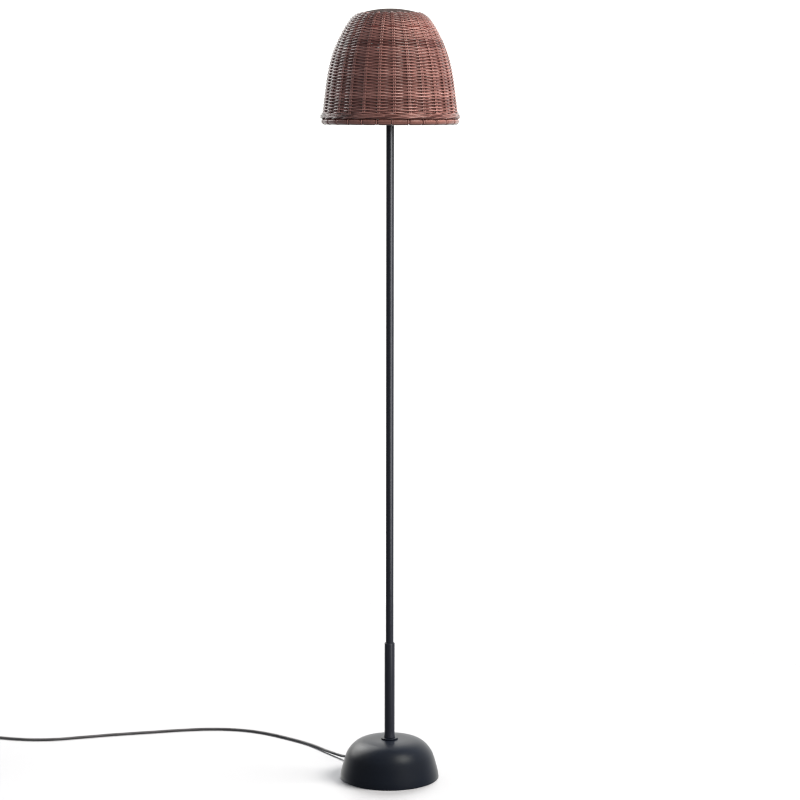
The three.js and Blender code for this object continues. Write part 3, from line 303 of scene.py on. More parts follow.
class Finish:
    """A tree of shader nodes, for a material or for the studio round the lamp."""

    def __init__(self, tree):
        self.tree = tree

    def node(self, kind, settings=None, sockets=None):
        made = self.tree.nodes.new(kind)
        for name, value in (settings or {}).items():
            setattr(made, name, value)
        for name, value in (sockets or {}).items():
            self.feed(made.inputs[name], value)
        return made

    def feed(self, socket, value):
        if isinstance(value, Number):
            value = value.socket
        if isinstance(value, bpy.types.NodeSocket):
            self.tree.links.new(value, socket)
        else:
            socket.default_value = value

    def number(self, socket):
        return Number(self, socket)

    def place(self):
        return self.node("ShaderNodeTexCoord").outputs["Object"]

    def surface(self):
        """The piece's own map: along it and round it."""
        return self.node("ShaderNodeUVMap").outputs["UV"]

    def attribute(self, name):
        return self.number(self.node("ShaderNodeAttribute", {"attribute_name": name}).outputs["Fac"])

    def parts(self, vector):
        separated = self.node("ShaderNodeSeparateXYZ", sockets={"Vector": vector})
        return [self.number(output) for output in separated.outputs]

    def vector(self, x=0.0, y=0.0, z=0.0):
        return self.node("ShaderNodeCombineXYZ", sockets={"X": x, "Y": y, "Z": z}).outputs[0]

    def stretched(self, vector, scale):
        settings = {"operation": "MULTIPLY"}
        return self.node("ShaderNodeVectorMath", settings, {0: vector, 1: scale}).outputs[0]

    def noise(self, vector, scale, detail=3.0, roughness=0.5):
        sockets = {"Vector": vector, "Scale": scale, "Detail": detail, "Roughness": roughness}
        return self.number(self.node("ShaderNodeTexNoise", sockets=sockets).outputs[0])

    def mix(self, share, first, second, blend="MIX"):
        settings = {"data_type": "RGBA", "blend_type": blend}
        first, second = [(*c, 1.0) if isinstance(c, tuple) else c for c in (first, second)]
        return self.node("ShaderNodeMix", settings, {0: share, 6: first, 7: second}).outputs[2]

    def bump(self, height, depth, strength=1.0):
        """A normal for a relief that is that deep in metres where height goes from 0 to 1."""
        sockets = {"Height": height, "Distance": depth, "Strength": strength}
        return self.node("ShaderNodeBump", sockets=sockets).outputs[0]


class Material(Finish):
    """A surface. Uniform values are given by name, and a varying one goes in with vary()."""

    def __init__(self, name, **uniform):
        self.made = bpy.data.materials.new(name)
        self.made.use_nodes = True
        super().__init__(self.made.node_tree)
        self.shader = self.tree.nodes["Principled BSDF"]
        for key, value in uniform.items():
            self.shader.inputs[key.replace("_", " ").title().replace("Ior", "IOR")].default_value = value

    def vary(self, **varying):
        for key, value in varying.items():
            self.feed(self.shader.inputs[key.replace("_", " ").title()], value)


def dress(piece, material):
    piece.data.materials.clear()
    piece.data.materials.append(material.made)


def linked(name, data):
    """A new object in the scene."""
    made = bpy.data.objects.new(name, data)
    bpy.context.scene.collection.objects.link(made)
    return made


# Finishes


def black_powder_coat(name, dark, dusty):
    """Satin black paint on steel, with a fine orange peel and a faint bloom of dust."""
    coat = Material(name, specular_ior_level=0.5)
    place = coat.place()
    peel = coat.noise(place, 900.0, 2.0)
    cloud = coat.noise(place, 14.0, 4.0)
    coat.vary(
        base_color=coat.mix(cloud.between(0.3, 0.75), dark, dusty),
        roughness=0.27 + 0.07 * cloud,
        normal=coat.bump(peel, 0.06 * MM, 0.5),
    )
    return coat


def braided_flex():
    """Black textile braid: two sets of strands that cross along the cord, with a dull sheen and painted
    shade in the grooves between them.
    """
    flex = Material("braided_flex", specular_ior_level=0.45, sheen_weight=0.25, sheen_roughness=0.5)
    pitch, carriers = 5.5 * MM, 8
    along, round_it, _ = flex.parts(flex.surface())
    lead, rounds = along * (TURN / pitch), round_it * (TURN * carriers)
    right = (lead + rounds).apply("SINE")
    left = (lead - rounds).apply("SINE")
    strands = right.apply("MAXIMUM", left)
    fuzz = flex.noise(flex.place(), 2400.0, 2.0)
    over = strands.between(-0.4, 1.0)
    # Painted shade: the grooves between the strands are darker than the strands' tops, with random fuzz on
    # top.
    flex.vary(
        base_color=flex.mix(over * fuzz.between(0.2, 0.8), (0.045, 0.045, 0.047), (0.17, 0.168, 0.172)),
        roughness=0.52 - 0.12 * over,
        normal=flex.bump(over, 0.35 * MM, 0.8),
    )
    return flex


def cane(name, dark, fair):
    """Stained rattan: fibres along each strand, varnished. Painted shade where it dips behind the others and
    on faces that point up or down.
    """
    stuff = Material(name, specular_ior_level=0.5, coat_roughness=0.2, coat_ior=1.75)
    along, round_it, _ = stuff.parts(stuff.surface())
    tone = stuff.attribute("tone")
    crest = stuff.attribute("crest")
    fibres = stuff.noise(stuff.vector(along * 60.0, round_it * 14.0, tone * 37.0), 1.0, 3.0, 0.6)
    blotches = stuff.noise(stuff.place(), 38.0, 3.0, 0.55)
    shade = (tone * 0.25 + fibres * 0.55 + blotches * 0.5 - 0.15).between(0.1, 0.9)
    # Painted shade: the cane is darker where its crest is low, where it dips behind other strands.
    painted_dip_shade = crest.between(-0.9, 0.6)
    colour = stuff.mix(shade, dark, fair)
    # Painted shade: darker on faces that point up or down, where strands lie against the rows above and
    # below, and on the lamp shade's top.
    up = stuff.parts(stuff.node("ShaderNodeTexCoord").outputs["Normal"])[2]
    painted_flank_shade = up.apply("ABSOLUTE").between(0.45, 0.95, 0.0, 0.75)
    colour = stuff.mix(painted_flank_shade, colour, dark, "MULTIPLY")
    stuff.vary(
        base_color=stuff.mix(painted_dip_shade, stuff.mix(0.8, colour, dark, "MULTIPLY"), colour),
        roughness=0.42 + 0.16 * fibres,
        coat_weight=0.8 + 0.2 * tone,
        normal=stuff.bump(fibres, 0.12 * MM, 0.5),
    )
    return stuff


def turned_wood():
    """Dull dark wood, with its grain across the disc."""
    stuff = Material("turned_wood", specular_ior_level=0.12)
    place = stuff.place()
    grain = stuff.noise(stuff.stretched(place, (220.0, 26.0, 60.0)), 1.0, 4.0, 0.6)
    stuff.vary(
        base_color=stuff.mix(grain.between(0.3, 0.7), (0.028, 0.0195, 0.018), (0.046, 0.0325, 0.0295)),
        roughness=0.72 + 0.14 * grain,
        normal=stuff.bump(grain, 0.08 * MM, 0.5),
    )
    return stuff


def bright_metal(name, colour, roughness=0.3):
    """Bare or plated metal, brushed along its height, with a faint stain."""
    metal = Material(name, metallic=1.0)
    place = metal.place()
    brushed = metal.noise(metal.stretched(place, (900.0, 900.0, 60.0)), 1.0, 3.0)
    stain = metal.noise(place, 60.0, 3.0)
    dull = tuple(part * 0.78 for part in colour)
    metal.vary(
        base_color=metal.mix(stain.between(0.3, 0.7), dull, colour),
        roughness=roughness + 0.15 * brushed,
        normal=metal.bump(brushed, 0.02 * MM, 0.4),
    )
    return metal


def grey_cast_iron():
    iron = Material("grey_cast_iron", metallic=0.8)
    place = iron.place()
    grains = iron.noise(place, 500.0, 4.0, 0.65)
    cloud = iron.noise(place, 25.0, 3.0)
    iron.vary(
        base_color=iron.mix(cloud, (0.06, 0.057, 0.055), (0.12, 0.105, 0.095)),
        roughness=0.6 + 0.2 * grains,
        normal=iron.bump(grains, 0.3 * MM, 0.7),
    )
    return iron


def pressed_felt():
    felt = Material("pressed_felt", sheen_weight=0.4, sheen_roughness=0.5)
    place = felt.place()
    fibres = felt.noise(felt.stretched(place, (1.0, 1.0, 2.0)), 1400.0, 4.0, 0.7)
    felt.vary(
        base_color=felt.mix(fibres.between(0.3, 0.7), (0.008, 0.008, 0.009), (0.03, 0.03, 0.032)),
        roughness=0.9 + 0.05 * fibres,
        normal=felt.bump(fibres, 0.3 * MM, 0.8),
    )
    return felt


def moulded(name, dark, fair, roughness=0.4, grain=700.0, depth=0.03 * MM):
    """A moulded plastic or rubber with a fine eroded texture and a few rubbed places."""
    stuff = Material(name, specular_ior_level=0.5)
    place = stuff.place()
    texture = stuff.noise(place, grain, 2.0)
    rubbed = stuff.noise(place, 45.0, 4.0, 0.6)
    stuff.vary(
        base_color=stuff.mix(rubbed.between(0.3, 0.7), dark, fair),
        roughness=roughness + 0.14 * rubbed,
        normal=stuff.bump(texture, depth, 0.6),
    )
    return stuff


def glazed_porcelain():
    stuff = Material("glazed_porcelain", coat_weight=0.6, coat_roughness=0.08)
    place = stuff.place()
    cloud = stuff.noise(place, 70.0, 3.0)
    stuff.vary(
        base_color=stuff.mix(cloud.between(0.3, 0.7), (0.78, 0.76, 0.7), (0.85, 0.84, 0.79)),
        roughness=0.2 + 0.1 * cloud,
    )
    return stuff


def opal_glass():
    """A bulb of white glass, seen unlit."""
    glass = Material("opal_glass", coat_weight=1.0, coat_roughness=0.03, subsurface_weight=0.2)
    place = glass.place()
    cloud = glass.noise(place, 30.0, 2.0)
    glass.vary(
        base_color=glass.mix(cloud.between(0.3, 0.7), (0.83, 0.83, 0.81), (0.88, 0.88, 0.86)),
        roughness=0.25 + 0.08 * cloud,
    )
    return glass


# Studio


def add_camera():
    camera = linked("camera", bpy.data.cameras.new("camera"))
    camera.data.sensor_width = SENSOR_WIDTH
    camera.data.lens = LENS
    camera.data.clip_end = 100.0
    tilt = Matrix.Rotation(math.radians(90 - CAMERA_PITCH), 4, "X")
    roll = Matrix.Rotation(math.radians(CAMERA_ROLL), 4, "Z")
    camera.matrix_world = Matrix.Translation(CAMERA_PLACE) @ tilt @ roll
    bpy.context.scene.camera = camera


def add_light(name, kind, power, place, target):
    """A light that shines from one place towards another."""
    light = linked(name, bpy.data.lights.new(name, kind))
    way = Vector(target) - Vector(place)
    light.matrix_world = Matrix.Translation(place) @ way.to_track_quat("-Z", "Y").to_matrix().to_4x4()
    light.data.energy = power
    return light


def add_stem_strip(middle, width, height, power):
    """A strip light that shows only in the gloss of the stem."""
    strip = add_light("stem_strip", "AREA", power, (*STRIP_PLACE, middle), (0, 0, middle))
    strip.data.shape = "ELLIPSE"
    strip.data.size = width
    strip.data.size_y = height
    strip.visible_camera = False
    strip.visible_diffuse = False
    strip.light_linking.receiver_collection = bpy.data.collections.new("stem_strip")
    for piece in ("stem_pole", "stem_sleeve"):
        strip.light_linking.receiver_collection.objects.link(bpy.data.objects[piece])


def add_sun(name, way, strength, spread, colour, on_matt, on_gloss):
    """A broad far light."""
    sun = add_light(name, "SUN", strength, way, (0, 0, 0))
    sun.data.angle = math.radians(spread)
    sun.data.color = colour
    sun.visible_diffuse = on_matt
    sun.visible_glossy = on_gloss


def add_floor():
    shape = bmesh.new()
    bmesh.ops.create_circle(shape, cap_ends=True, segments=96, radius=FLOOR_RADIUS)
    bmesh.ops.translate(shape, vec=FLOOR_MIDDLE, verts=shape.verts)
    paper = Material("white_sweep")
    grain = paper.noise(paper.place(), 300.0, 2.0)
    paper.vary(base_color=paper.mix(grain, FLOOR_WHITE, FLOOR_PALE), roughness=0.8 + 0.1 * grain)
    floor = linked("studio_floor", finished("studio_floor", shape))
    dress(floor, paper)
    floor.visible_glossy = False
    floor.visible_diffuse = False


def add_surroundings():
    """White all round for the camera. The lamp sees a pale wall behind it and a dim room elsewhere."""
    world = bpy.data.worlds.new("white_room")
    world.use_nodes = True
    world.node_tree.nodes.clear()
    room = Finish(world.node_tree)
    way = room.node("ShaderNodeTexCoord").outputs["Generated"]
    _, depth, _ = room.parts(way)
    strength = ROOM_GLOW + WALL_GLOW * depth.apply("MAXIMUM", 0.0) ** WALL_FALL
    seen = room.number(room.node("ShaderNodeLightPath").outputs["Is Camera Ray"])
    lit = strength.between(0.1, 0.9).apply("MAXIMUM", seen)
    strength = strength * (1 - seen) + WHITE_GLOW * seen
    sockets = {"Color": room.mix(lit, ROOM_TINT, WALL_TINT), "Strength": strength}
    light = room.node("ShaderNodeBackground", sockets=sockets).outputs[0]
    room.node("ShaderNodeOutputWorld", sockets={"Surface": light})
    bpy.context.scene.world = world


def set_picture():
    scene = bpy.context.scene
    scene.view_settings.view_transform = "Standard"
    scene.view_settings.look = "None"
    scene.cycles.filter_width = PICTURE_SOFTNESS


# Pieces


def new_piece(name, data, material, body="lamp", replaces=()):
    piece = linked(name, data)
    dress(piece, material)
    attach(piece, body)
    if replaces:
        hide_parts(*replaces)
    return piece


def tube_mesh(name, points, radius, sides=8, closed=False, radii=None, marks=None):
    """A tube whose rings stand on those points, with metres along it and one turn round it as its map.
    marks holds a list of numbers, one for each point, for each attribute."""
    data = bpy.data.curves.new(name, "CURVE")
    data.dimensions = "3D"
    data.bevel_depth = radius
    data.bevel_resolution = sides // 2 - 2
    data.use_fill_caps = not closed
    spline = data.splines.new("POLY")
    spline.points.add(len(points) - 1)
    spline.points.foreach_set("co", [c for point in points for c in (*point, 1.0)])
    if radii:
        spline.points.foreach_set("radius", radii)
    spline.use_cyclic_u = closed
    line = bpy.data.objects.new(name, data)
    mesh = bpy.data.meshes.new_from_object(line)
    bpy.data.objects.remove(line)
    bpy.data.curves.remove(data)
    map_tube(mesh, points, closed, marks or {})
    return mesh


def map_tube(mesh, points, closed, marks):
    places = np.zeros(len(mesh.loops) * 2, np.float32)
    mesh.uv_layers[0].data.foreach_get("uv", places)
    round_it, along = places.reshape(-1, 2).T
    count = len(points)
    ring = np.rint(along * (count - (not closed))).astype(int)
    corner_points = np.zeros(len(mesh.loops), np.int32)
    mesh.loops.foreach_get("vertex_index", corner_points)
    if not closed:
        spots = np.zeros(len(mesh.vertices) * 3, np.float32)
        mesh.vertices.foreach_get("co", spots)
        from_end = np.linalg.norm(spots.reshape(-1, 3) - np.array(points[-1]), axis=1)
        from_start = np.linalg.norm(spots.reshape(-1, 3) - np.array(points[0]), axis=1)
        ring[(ring == 0) & (from_end < from_start)[corner_points]] = count - 1
    lengths = distances_along([*points, points[0]])
    mesh.uv_layers[0].data.foreach_set("uv", np.stack([lengths[ring], round_it], 1).ravel())
    for name, values in marks.items():
        numbers = np.zeros(len(mesh.vertices), np.float32)
        numbers[corner_points] = np.array(values, np.float32)[ring % count]
        mesh.attributes.new(name, "FLOAT", "POINT").data.foreach_set("value", numbers)


def joined(name, meshes):
    """One mesh of several, with the seams inside each closed."""
    shape = bmesh.new()
    for mesh in meshes:
        shape.from_mesh(mesh)
        bpy.data.meshes.remove(mesh)
    bmesh.ops.remove_doubles(shape, verts=shape.verts, dist=SAME_PLACE)
    return finished(name, shape)


def finished(name, shape, crease=40):
    """The mesh of a bmesh, smooth but for its sharp edges."""
    mesh = bpy.data.meshes.new(name)
    shape.to_mesh(mesh)
    shape.free()
    mesh.shade_smooth()
    mesh.set_sharp_from_angle(angle=math.radians(crease))
    return mesh


def spun(name, profile, steps=96, ring=False, crease=40, place=(0, 0, 0), turn=None):
    """A solid of revolution about Z from (radius, height) points. A ring's profile closes on itself."""
    shape = bmesh.new()
    points = [shape.verts.new((radius, 0, height)) for radius, height in profile]
    pairs = list(zip(points, points[1:])) + ([(points[-1], points[0])] if ring else [])
    edges = [shape.edges.new(pair) for pair in pairs]
    bmesh.ops.spin(
        shape,
        geom=[*points, *edges],
        cent=(0, 0, 0),
        axis=(0, 0, 1),
        angle=TURN,
        steps=steps,
        use_merge=True,
    )
    bmesh.ops.remove_doubles(shape, verts=shape.verts, dist=SAME_PLACE)
    bmesh.ops.recalc_face_normals(shape, faces=shape.faces)
    if turn:
        bmesh.ops.transform(shape, matrix=turn, verts=shape.verts)
    bmesh.ops.translate(shape, vec=place, verts=shape.verts)
    return finished(name, shape, crease)


def add_turned(name, profile, material, slot, node, body="lamp", **turning):
    """A piece that is a solid of revolution, in place of a node."""
    new_piece(name, spun(name, profile, **turning), material, body, [node])


def eased(profile, radius, ring=False):
    """A profile with its corners taken off by short arcs."""
    points = [Vector(point) for point in profile]
    count = len(points)
    line = []
    for i, corner in enumerate(points):
        if not ring and i in (0, count - 1):
            line.append(corner)
            continue
        before, after = points[i - 1] - corner, points[(i + 1) % count] - corner
        reach = min(radius, before.length * 0.45, after.length * 0.45)
        start, end = corner + before.normalized() * reach, corner + after.normalized() * reach
        for step in range(5):
            share = step / 4
            line.append(start.lerp(corner, share).lerp(corner.lerp(end, share), share))
    return [tuple(point) for point in line]


# Cord


def outward(distance, height):
    return around(CORD_ANGLE, distance, height)


def bushing_end():
    """How far from the lamp's axis the bushing lets the cord go."""
    way = outward(1, 0)
    return max(vertex.co.dot(way) for vertex in nodes["cord_bushing"].data.vertices)


def in_line(y, height):
    """A point straight before or behind the switch."""
    return Vector((SWITCH_X, y, height))


def flex_to_switch_line():
    height = box_middle("cord_bushing").z
    leaves = bushing_end() + PIECE_GAP
    start = [outward(leaves, height), outward(leaves + CORD_DIAMETER, height)]
    route = [Vector(point) * MM for point in CORD_ROUTE]
    grip_end = in_line(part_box("switch_grip_in")[1].y, SWITCH_MIDDLE)
    before_grip = grip_end + Vector((0, CORD_DIAMETER, 0))
    end = in_line(box_middle("switch_base").y + TERMINAL_REACH + PIECE_GAP, SWITCH_MIDDLE)
    return smooth_line([*start, *route, before_grip, grip_end, end], CORD_STEP)


def coil_line():
    """The coil: a spiral in, a climb where it turns back, and a spiral out over the first."""
    line = []
    for i in range(2 * COIL_TURNS * COIL_STEPS + 1):
        turn = i / COIL_STEPS
        from_middle = turn - COIL_TURNS
        radius = COIL_INNER + COIL_PITCH * abs(from_middle)
        climb = kept_in(2 * from_middle + 0.5)
        height = COIL_LOW + COIL_LAYER * climb * climb * (3 - 2 * climb)
        line.append(around(math.pi + TURN * turn, radius, height, COIL_MIDDLE))
    return line


def flex_to_plug_line():
    start = in_line(box_middle("switch_base").y - TERMINAL_REACH - PIECE_GAP, SWITCH_MIDDLE)
    grip_end = in_line(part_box("switch_grip_out")[0].y, SWITCH_MIDDLE)
    further = Vector((0, CORD_DIAMETER, 0))
    after_grip = grip_end - further
    end = in_line(COIL_MIDDLE[1] + CORD_DIAMETER + PIECE_GAP, COIL_LOW)
    low = end + 2 * further
    tail = smooth_line([start, grip_end, after_grip, after_grip.lerp(low, 0.5), low, end], CORD_STEP)
    lead_start = in_line(COIL_MIDDLE[1] - CORD_DIAMETER - PIECE_GAP, COIL_LOW + COIL_LAYER)
    lead_end = in_line(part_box("cord_plug_lead")[0].y, PLUG_MIDDLE)
    lead = smooth_line([lead_start, lead_start - further, lead_end + further, lead_end], CORD_STEP)
    return [*tail, *coil_line(), *lead]


def add_flex(name, line, replaced):
    mesh = tube_mesh(name, line, CORD_DIAMETER / 2, sides=12)
    return new_piece(name, mesh, braid, replaces=replaced)


def add_cords():
    to_switch = flex_to_switch_line()
    first = add_flex("flex_to_switch", to_switch, ["cord_run"])
    to_plug = flex_to_plug_line()
    second = add_flex("flex_to_plug", to_plug, ["cord_tail", "cord_coil", "cord_plug_lead"])
    add_switch_shells()
    add_button()
    add_spring()
    add_grips()
    add_boot_rings()
    add_pins()
    on_first = ["cord_bushing", "switch_bottom", "switch_top", "switch_screw_1", "switch_screw_2"]
    on_first += ["ribbed_grip_in", "ribbed_grip_out", "switch_contact_block", "switch_terminal_in"]
    on_first += ["switch_terminal_out", "coil_spring", "foot_button"]
    tuple(outward(bushing_end(), box_middle("cord_bushing").z))
    round(line_length(to_switch), 3)
    round(line_length(to_plug), 3)
    print(f"cord lengths: {line_length(to_switch):.3f} m and {line_length(to_plug):.3f} m")


# Shade


class Outline:
    """The outside of the weave, followed from its foot to its top."""

    def __init__(self):
        low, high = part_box("shade_weave")
        widest, tall = high.x, high.z - low.z
        points = [Vector((share * widest, 0, low.z + height * tall)) for height, share in WEAVE_SHARES]
        self.points = smooth_line(points, 0.5 * MM)
        self.distances = distances_along(self.points)
        self.length = float(self.distances[-1])

    def at(self, distance):
        """Radius and height at that distance along it, and which way is out. Straight past its ends."""
        inside = min(max(distance, 0.0), self.length)
        i = int(np.clip(np.searchsorted(self.distances, inside), 2, len(self.points) - 3))
        way = (self.points[i + 2] - self.points[i - 2]).normalized()
        spot = self.points[i] + way * (distance - self.distances[i])
        return spot.x, spot.z, Vector((way.z, 0, -way.x))

    def place(self, distance, angle, out):
        """A point that lies that far out of the weave's outside, at that angle round the lamp."""
        radius, height, way = self.at(distance)
        return around(angle, radius + way.x * out, height + way.z * out)

    def distance_at(self, height):
        return float(np.interp(height, [point.z for point in self.points], self.distances))


def stake_share(angle):
    """How many stakes lie between the first one and that angle."""
    return (angle - STAKE_START) / STAKE_PITCH


def weave_wave(share):
    """1 over a stake, -1 behind the next. A little sharper than a cosine, as stiff cane bends."""
    wave = math.cos(math.pi * share)
    return math.copysign(abs(wave) ** CANE_STIFFNESS, wave)


def wander(angle, row, amount, seed=0.0):
    """A slow unevenness that neighbouring rows share."""
    return amount * noise.noise(around(angle, WANDER_WAVES, row * ROW_WAVES, (seed, 0)))


def strand(points, thick, tone, crest, **more):
    """A strand of cane. Its crest, which is high where it lies on top, is a number or one for each point.
    The cane finishes paint shade where it is low.
    """
    crests = crest if isinstance(crest, list) else [crest] * len(points)
    marks = {"tone": [tone] * len(points), "crest": crests}
    return tube_mesh("strand", points, thick, marks=marks, **more)


def add_woven(name, strands, material, replaces=()):
    new_piece(name, joined(name, strands), material, replaces=replaces)


def weaver_run(outline, pitch, start, turns, tone):
    """One length of weaver. It tucks in behind where it starts, and its cut end lies on the outside."""
    steps = round(turns * STAKES * POINTS_PER_STAKE)
    points, crests, radii = [], [], []
    for i in range(steps + 1):
        turn = start + i / (STAKES * POINTS_PER_STAKE)
        angle = STAKE_START + TURN * (turn + START_TURN)
        crest = weave_wave(stake_share(angle))
        distance = WEAVE_FOOT + pitch * turn + wander(angle, turn, ROW_WANDER)
        swing = WEAVER_SWING * (1 - SWING_LOSS * kept_in((distance - CLOSING) / CLOSED))
        tuck = END_TUCK * max(0.0, 1 - i / TUCK_POINTS)
        lift = END_LIFT * max(0.0, 1 - (steps - i) / LIFT_POINTS)
        out = WEAVE_MIDDLE + (WEAVER_SWING - swing) + swing * crest - tuck + lift
        points.append(outline.place(distance, angle, out + wander(angle, turn, DEPTH_WANDER, 7.0)))
        crests.append(crest)
        radii.append(1 + WEAVER_UNEVEN * noise.noise((tone * 50, i * 0.05, 0)))
    return strand(points, WEAVER, tone, crests, radii=radii)


def weaver_runs(outline, pitch, turn, end, fairest=1.0):
    """A belt of the weave: one weaver after another, round and round from one turn to another."""
    runs = []
    while end - turn > LEAST_TURNS:
        stakes = round(chance.uniform(*WEAVER_TURNS) * STAKES) + 0.5
        if end - turn - stakes / STAKES < LEAST_TURNS:
            stakes = (end - turn) * STAKES
        runs.append(weaver_run(outline, pitch, turn, stakes / STAKES, chance.uniform(0, fairest)))
        turn += (stakes - OVERLAP) / STAKES
    return runs


def add_stakes(outline):
    """Upright stakes of two rods each, which the weavers pass."""
    rods = []
    steps = 44
    for stake in range(STAKES):
        for side in (-1, 1):
            tone = chance.uniform(0.5, 1.0)
            points = []
            for i in range(steps + 1):
                distance = STAKE_FOOT + (outline.length + STAKE_EXTRA) * i / steps
                radius = outline.at(distance)[0]
                aside = side * STAKE_SPREAD * min(1.0, radius / STAKE_NARROWS) / radius
                angle = STAKE_START + STAKE_PITCH * stake + aside
                angle += wander(stake, distance * 40, STAKE_WANDER)
                points.append(outline.place(distance, angle, WEAVE_MIDDLE + STAKE_PROUD))
            rods.append(strand(points, STAKE_ROD, tone, 0.5))
    add_woven("stakes", rods, stained_cane)


def border_strand(outline, distance, number, beyond, tone):
    """One of a row's three strands: over two stakes and behind the third, rising to the right."""
    points, crests = [], []
    count = STAKES * POINTS_PER_STAKE
    for i in range(count):
        angle = STAKE_START + TURN * i / count
        phase = (stake_share(angle) - number + 0.5) % 3
        climb = phase / 2 if phase < 2 else 3 - phase
        if phase < 2:
            wave = min(1.0, BORDER_BEND * min(phase, 2 - phase))
            crest = math.sin(wave * math.pi / 2)
        else:
            crest = -math.sin((phase - 2) * math.pi)
        along = distance + BORDER_RISE * (2 * climb - 1) + wander(angle, number, BORDER_WANDER, 3.0)
        points.append(outline.place(along, angle, WEAVE_MIDDLE + beyond + BORDER_SWING * crest))
        crests.append(crest)
    return strand(points, BORDER_ROD, tone, crests, closed=True)


def add_border(outline):
    """Two rows of three twined strands each, over the hoop."""
    strands = []
    for row, (distance, beyond) in enumerate(BORDER_ROWS):
        for number in range(3):
            tone = chance.uniform(0.2, 0.9)
            strands.append(border_strand(outline, distance, number + 1.5 * row, beyond, tone))
    add_woven("rim_border", strands, border_cane, ["rim_wale"])


def hoop_pinch(angle):
    """1 under a lashing, 0 between two, with a slow slope beside each."""
    share = stake_share(angle + math.radians(LASHING_ASIDE))
    from_stake = abs(share - round(share)) * STAKE_PITCH * HOOP_RADIUS
    under, edge, slope = 3 * MM, 1 * MM, 7 * MM
    return 0.8 * kept_in((under - from_stake) / edge) + 0.2 * max(0.0, 1 - from_stake / slope)


def add_hoop():
    """A round hoop that its lashings pinch in, with painted shade under and beside each lashing."""
    middle = box_middle("rim_hoop").z
    points, radii, crests = [], [], []
    for i in range(STAKES * HOOP_POINTS):
        angle = STAKE_START + TURN * i / (STAKES * HOOP_POINTS)
        points.append(around(angle, HOOP_RADIUS, middle))
        pinch = hoop_pinch(angle)
        radii.append(1 - HOOP_PINCH * pinch + HOOP_UNEVEN * noise.noise((angle * 9, 0, 0)))
        # Painted shade: a low crest under and beside each lashing, which the cane's finish darkens.
        crests.append(1 - 2.2 * pinch)
    mesh = strand(points, HOOP_THICK, HOOP_TONE, crests, sides=16, closed=True, radii=radii)
    add_woven("rim_hoop_cane", [mesh], hoop_cane, ["rim_hoop"])


def lashing_turn(angle, lean, tone):
    """A strip of cane once round the hoop."""
    middle = box_middle("rim_hoop").z
    reach = HOOP_THICK + LASHING_PROUD - LASHING
    points = []
    for i in range(20):
        round_hoop = TURN * i / 20
        swing = angle + lean * math.sin(round_hoop) / HOOP_RADIUS
        radius = HOOP_RADIUS + reach * math.cos(round_hoop)
        points.append(around(swing, radius, middle + reach * math.sin(round_hoop)))
    return strand(points, LASHING, tone, 0.8, closed=True)


def add_lashings():
    """One or two turns of cane beside each stake, which tie the border to the hoop."""
    turns = []
    for stake in range(STAKES):
        aside = math.radians(LASHING_ASIDE + chance.uniform(-0.3, 0.3))
        angle = STAKE_START + STAKE_PITCH * stake - aside
        tone = chance.uniform(0.2, 1.0)
        for extra in range(chance.choice([1, 1, 2])):
            beside = extra * 2 * LASHING / HOOP_RADIUS
            turns.append(lashing_turn(angle + beside, chance.uniform(-0.8, 0.8) * MM, tone))
    add_woven("hoop_lashings", turns, stained_cane)


def add_crown():
    """A turned disc with a domed top, and a lip at its foot."""
    low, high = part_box("crown_disc")
    edge, lip = high.z - CROWN_RISE, high.x + CROWN_LIP
    profile = [(0, low.z), (lip - CROWN_LIP_EDGE, low.z), (lip, low.z + CROWN_LIP_EDGE)]
    profile.append((high.x, low.z + CROWN_LIP_HIGH))
    for i in range(13):
        share = 1 - i / 12
        profile.append((high.x * share, edge + CROWN_RISE * (1 - share * share)))
    add_turned("crown_wood", eased(profile, 1 * MM), dark_wood, "crown_wood", "crown_disc", crease=50)


def add_shade():
    outline = Outline()
    tall = outline.length - WEAVE_DROP - WEAVE_FOOT
    turns = round(tall / ROW_PITCH)
    pitch = tall / turns
    red_turn = round((outline.distance_at(RED_HEIGHT) - WEAVE_FOOT) / pitch)
    lower = weaver_runs(outline, pitch, 0.0, red_turn)
    red = weaver_run(outline, pitch, red_turn, 1 + 0.5 / STAKES, RED_TONE)
    upper = weaver_runs(outline, pitch, red_turn + 1.0, turns, TOP_FAIREST)
    third = len(lower) // 3
    add_woven("weave_foot", lower[:third], stained_cane)
    add_woven("weave_lower", lower[third : 2 * third], stained_cane)
    add_woven("weave_middle", lower[2 * third :], stained_cane)
    add_woven("weave_top", upper, top_cane_painted_shade)
    add_stakes(outline)
    add_woven("red_weaver", [red], red_cane, ["shade_weave"])
    add_border(outline)
    add_hoop()
    add_lashings()
    add_crown()


# Base and stem


def add_base_shell():
    """The pressed shell: its outside, and its inside a sheet's thickness away."""
    low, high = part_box("base_dome")
    radius, tall = high.x, high.z - low.z
    outside = [Vector((share * radius, 0, low.z + height * tall)) for share, height in DOME_SHARES]
    line = smooth_line([*outside, Vector((TIE_ROD_HOLE, 0, high.z))], 2 * MM)
    inside = []
    for before, point, after in zip([line[0], *line], line, [*line[1:], line[-1]]):
        way = (after - before).normalized()
        inner = point - Vector((way.z, 0, -way.x)) * SHEET_WALL
        inside.append((max(inner.x, TIE_ROD_HOLE), max(inner.z, low.z)))
    profile = [*[(point.x, point.z) for point in line], *reversed(inside)]
    turning = {"steps": 160, "ring": True, "crease": 50}
    add_turned("base_shell", profile, powder_coat, "black_steel", "base_dome", **turning)


def add_stem_tube(name, node, profile, ease, material):
    profile = eased(profile, ease, ring=True)
    add_turned(name, profile, material, "black_steel", node, steps=72, ring=True)


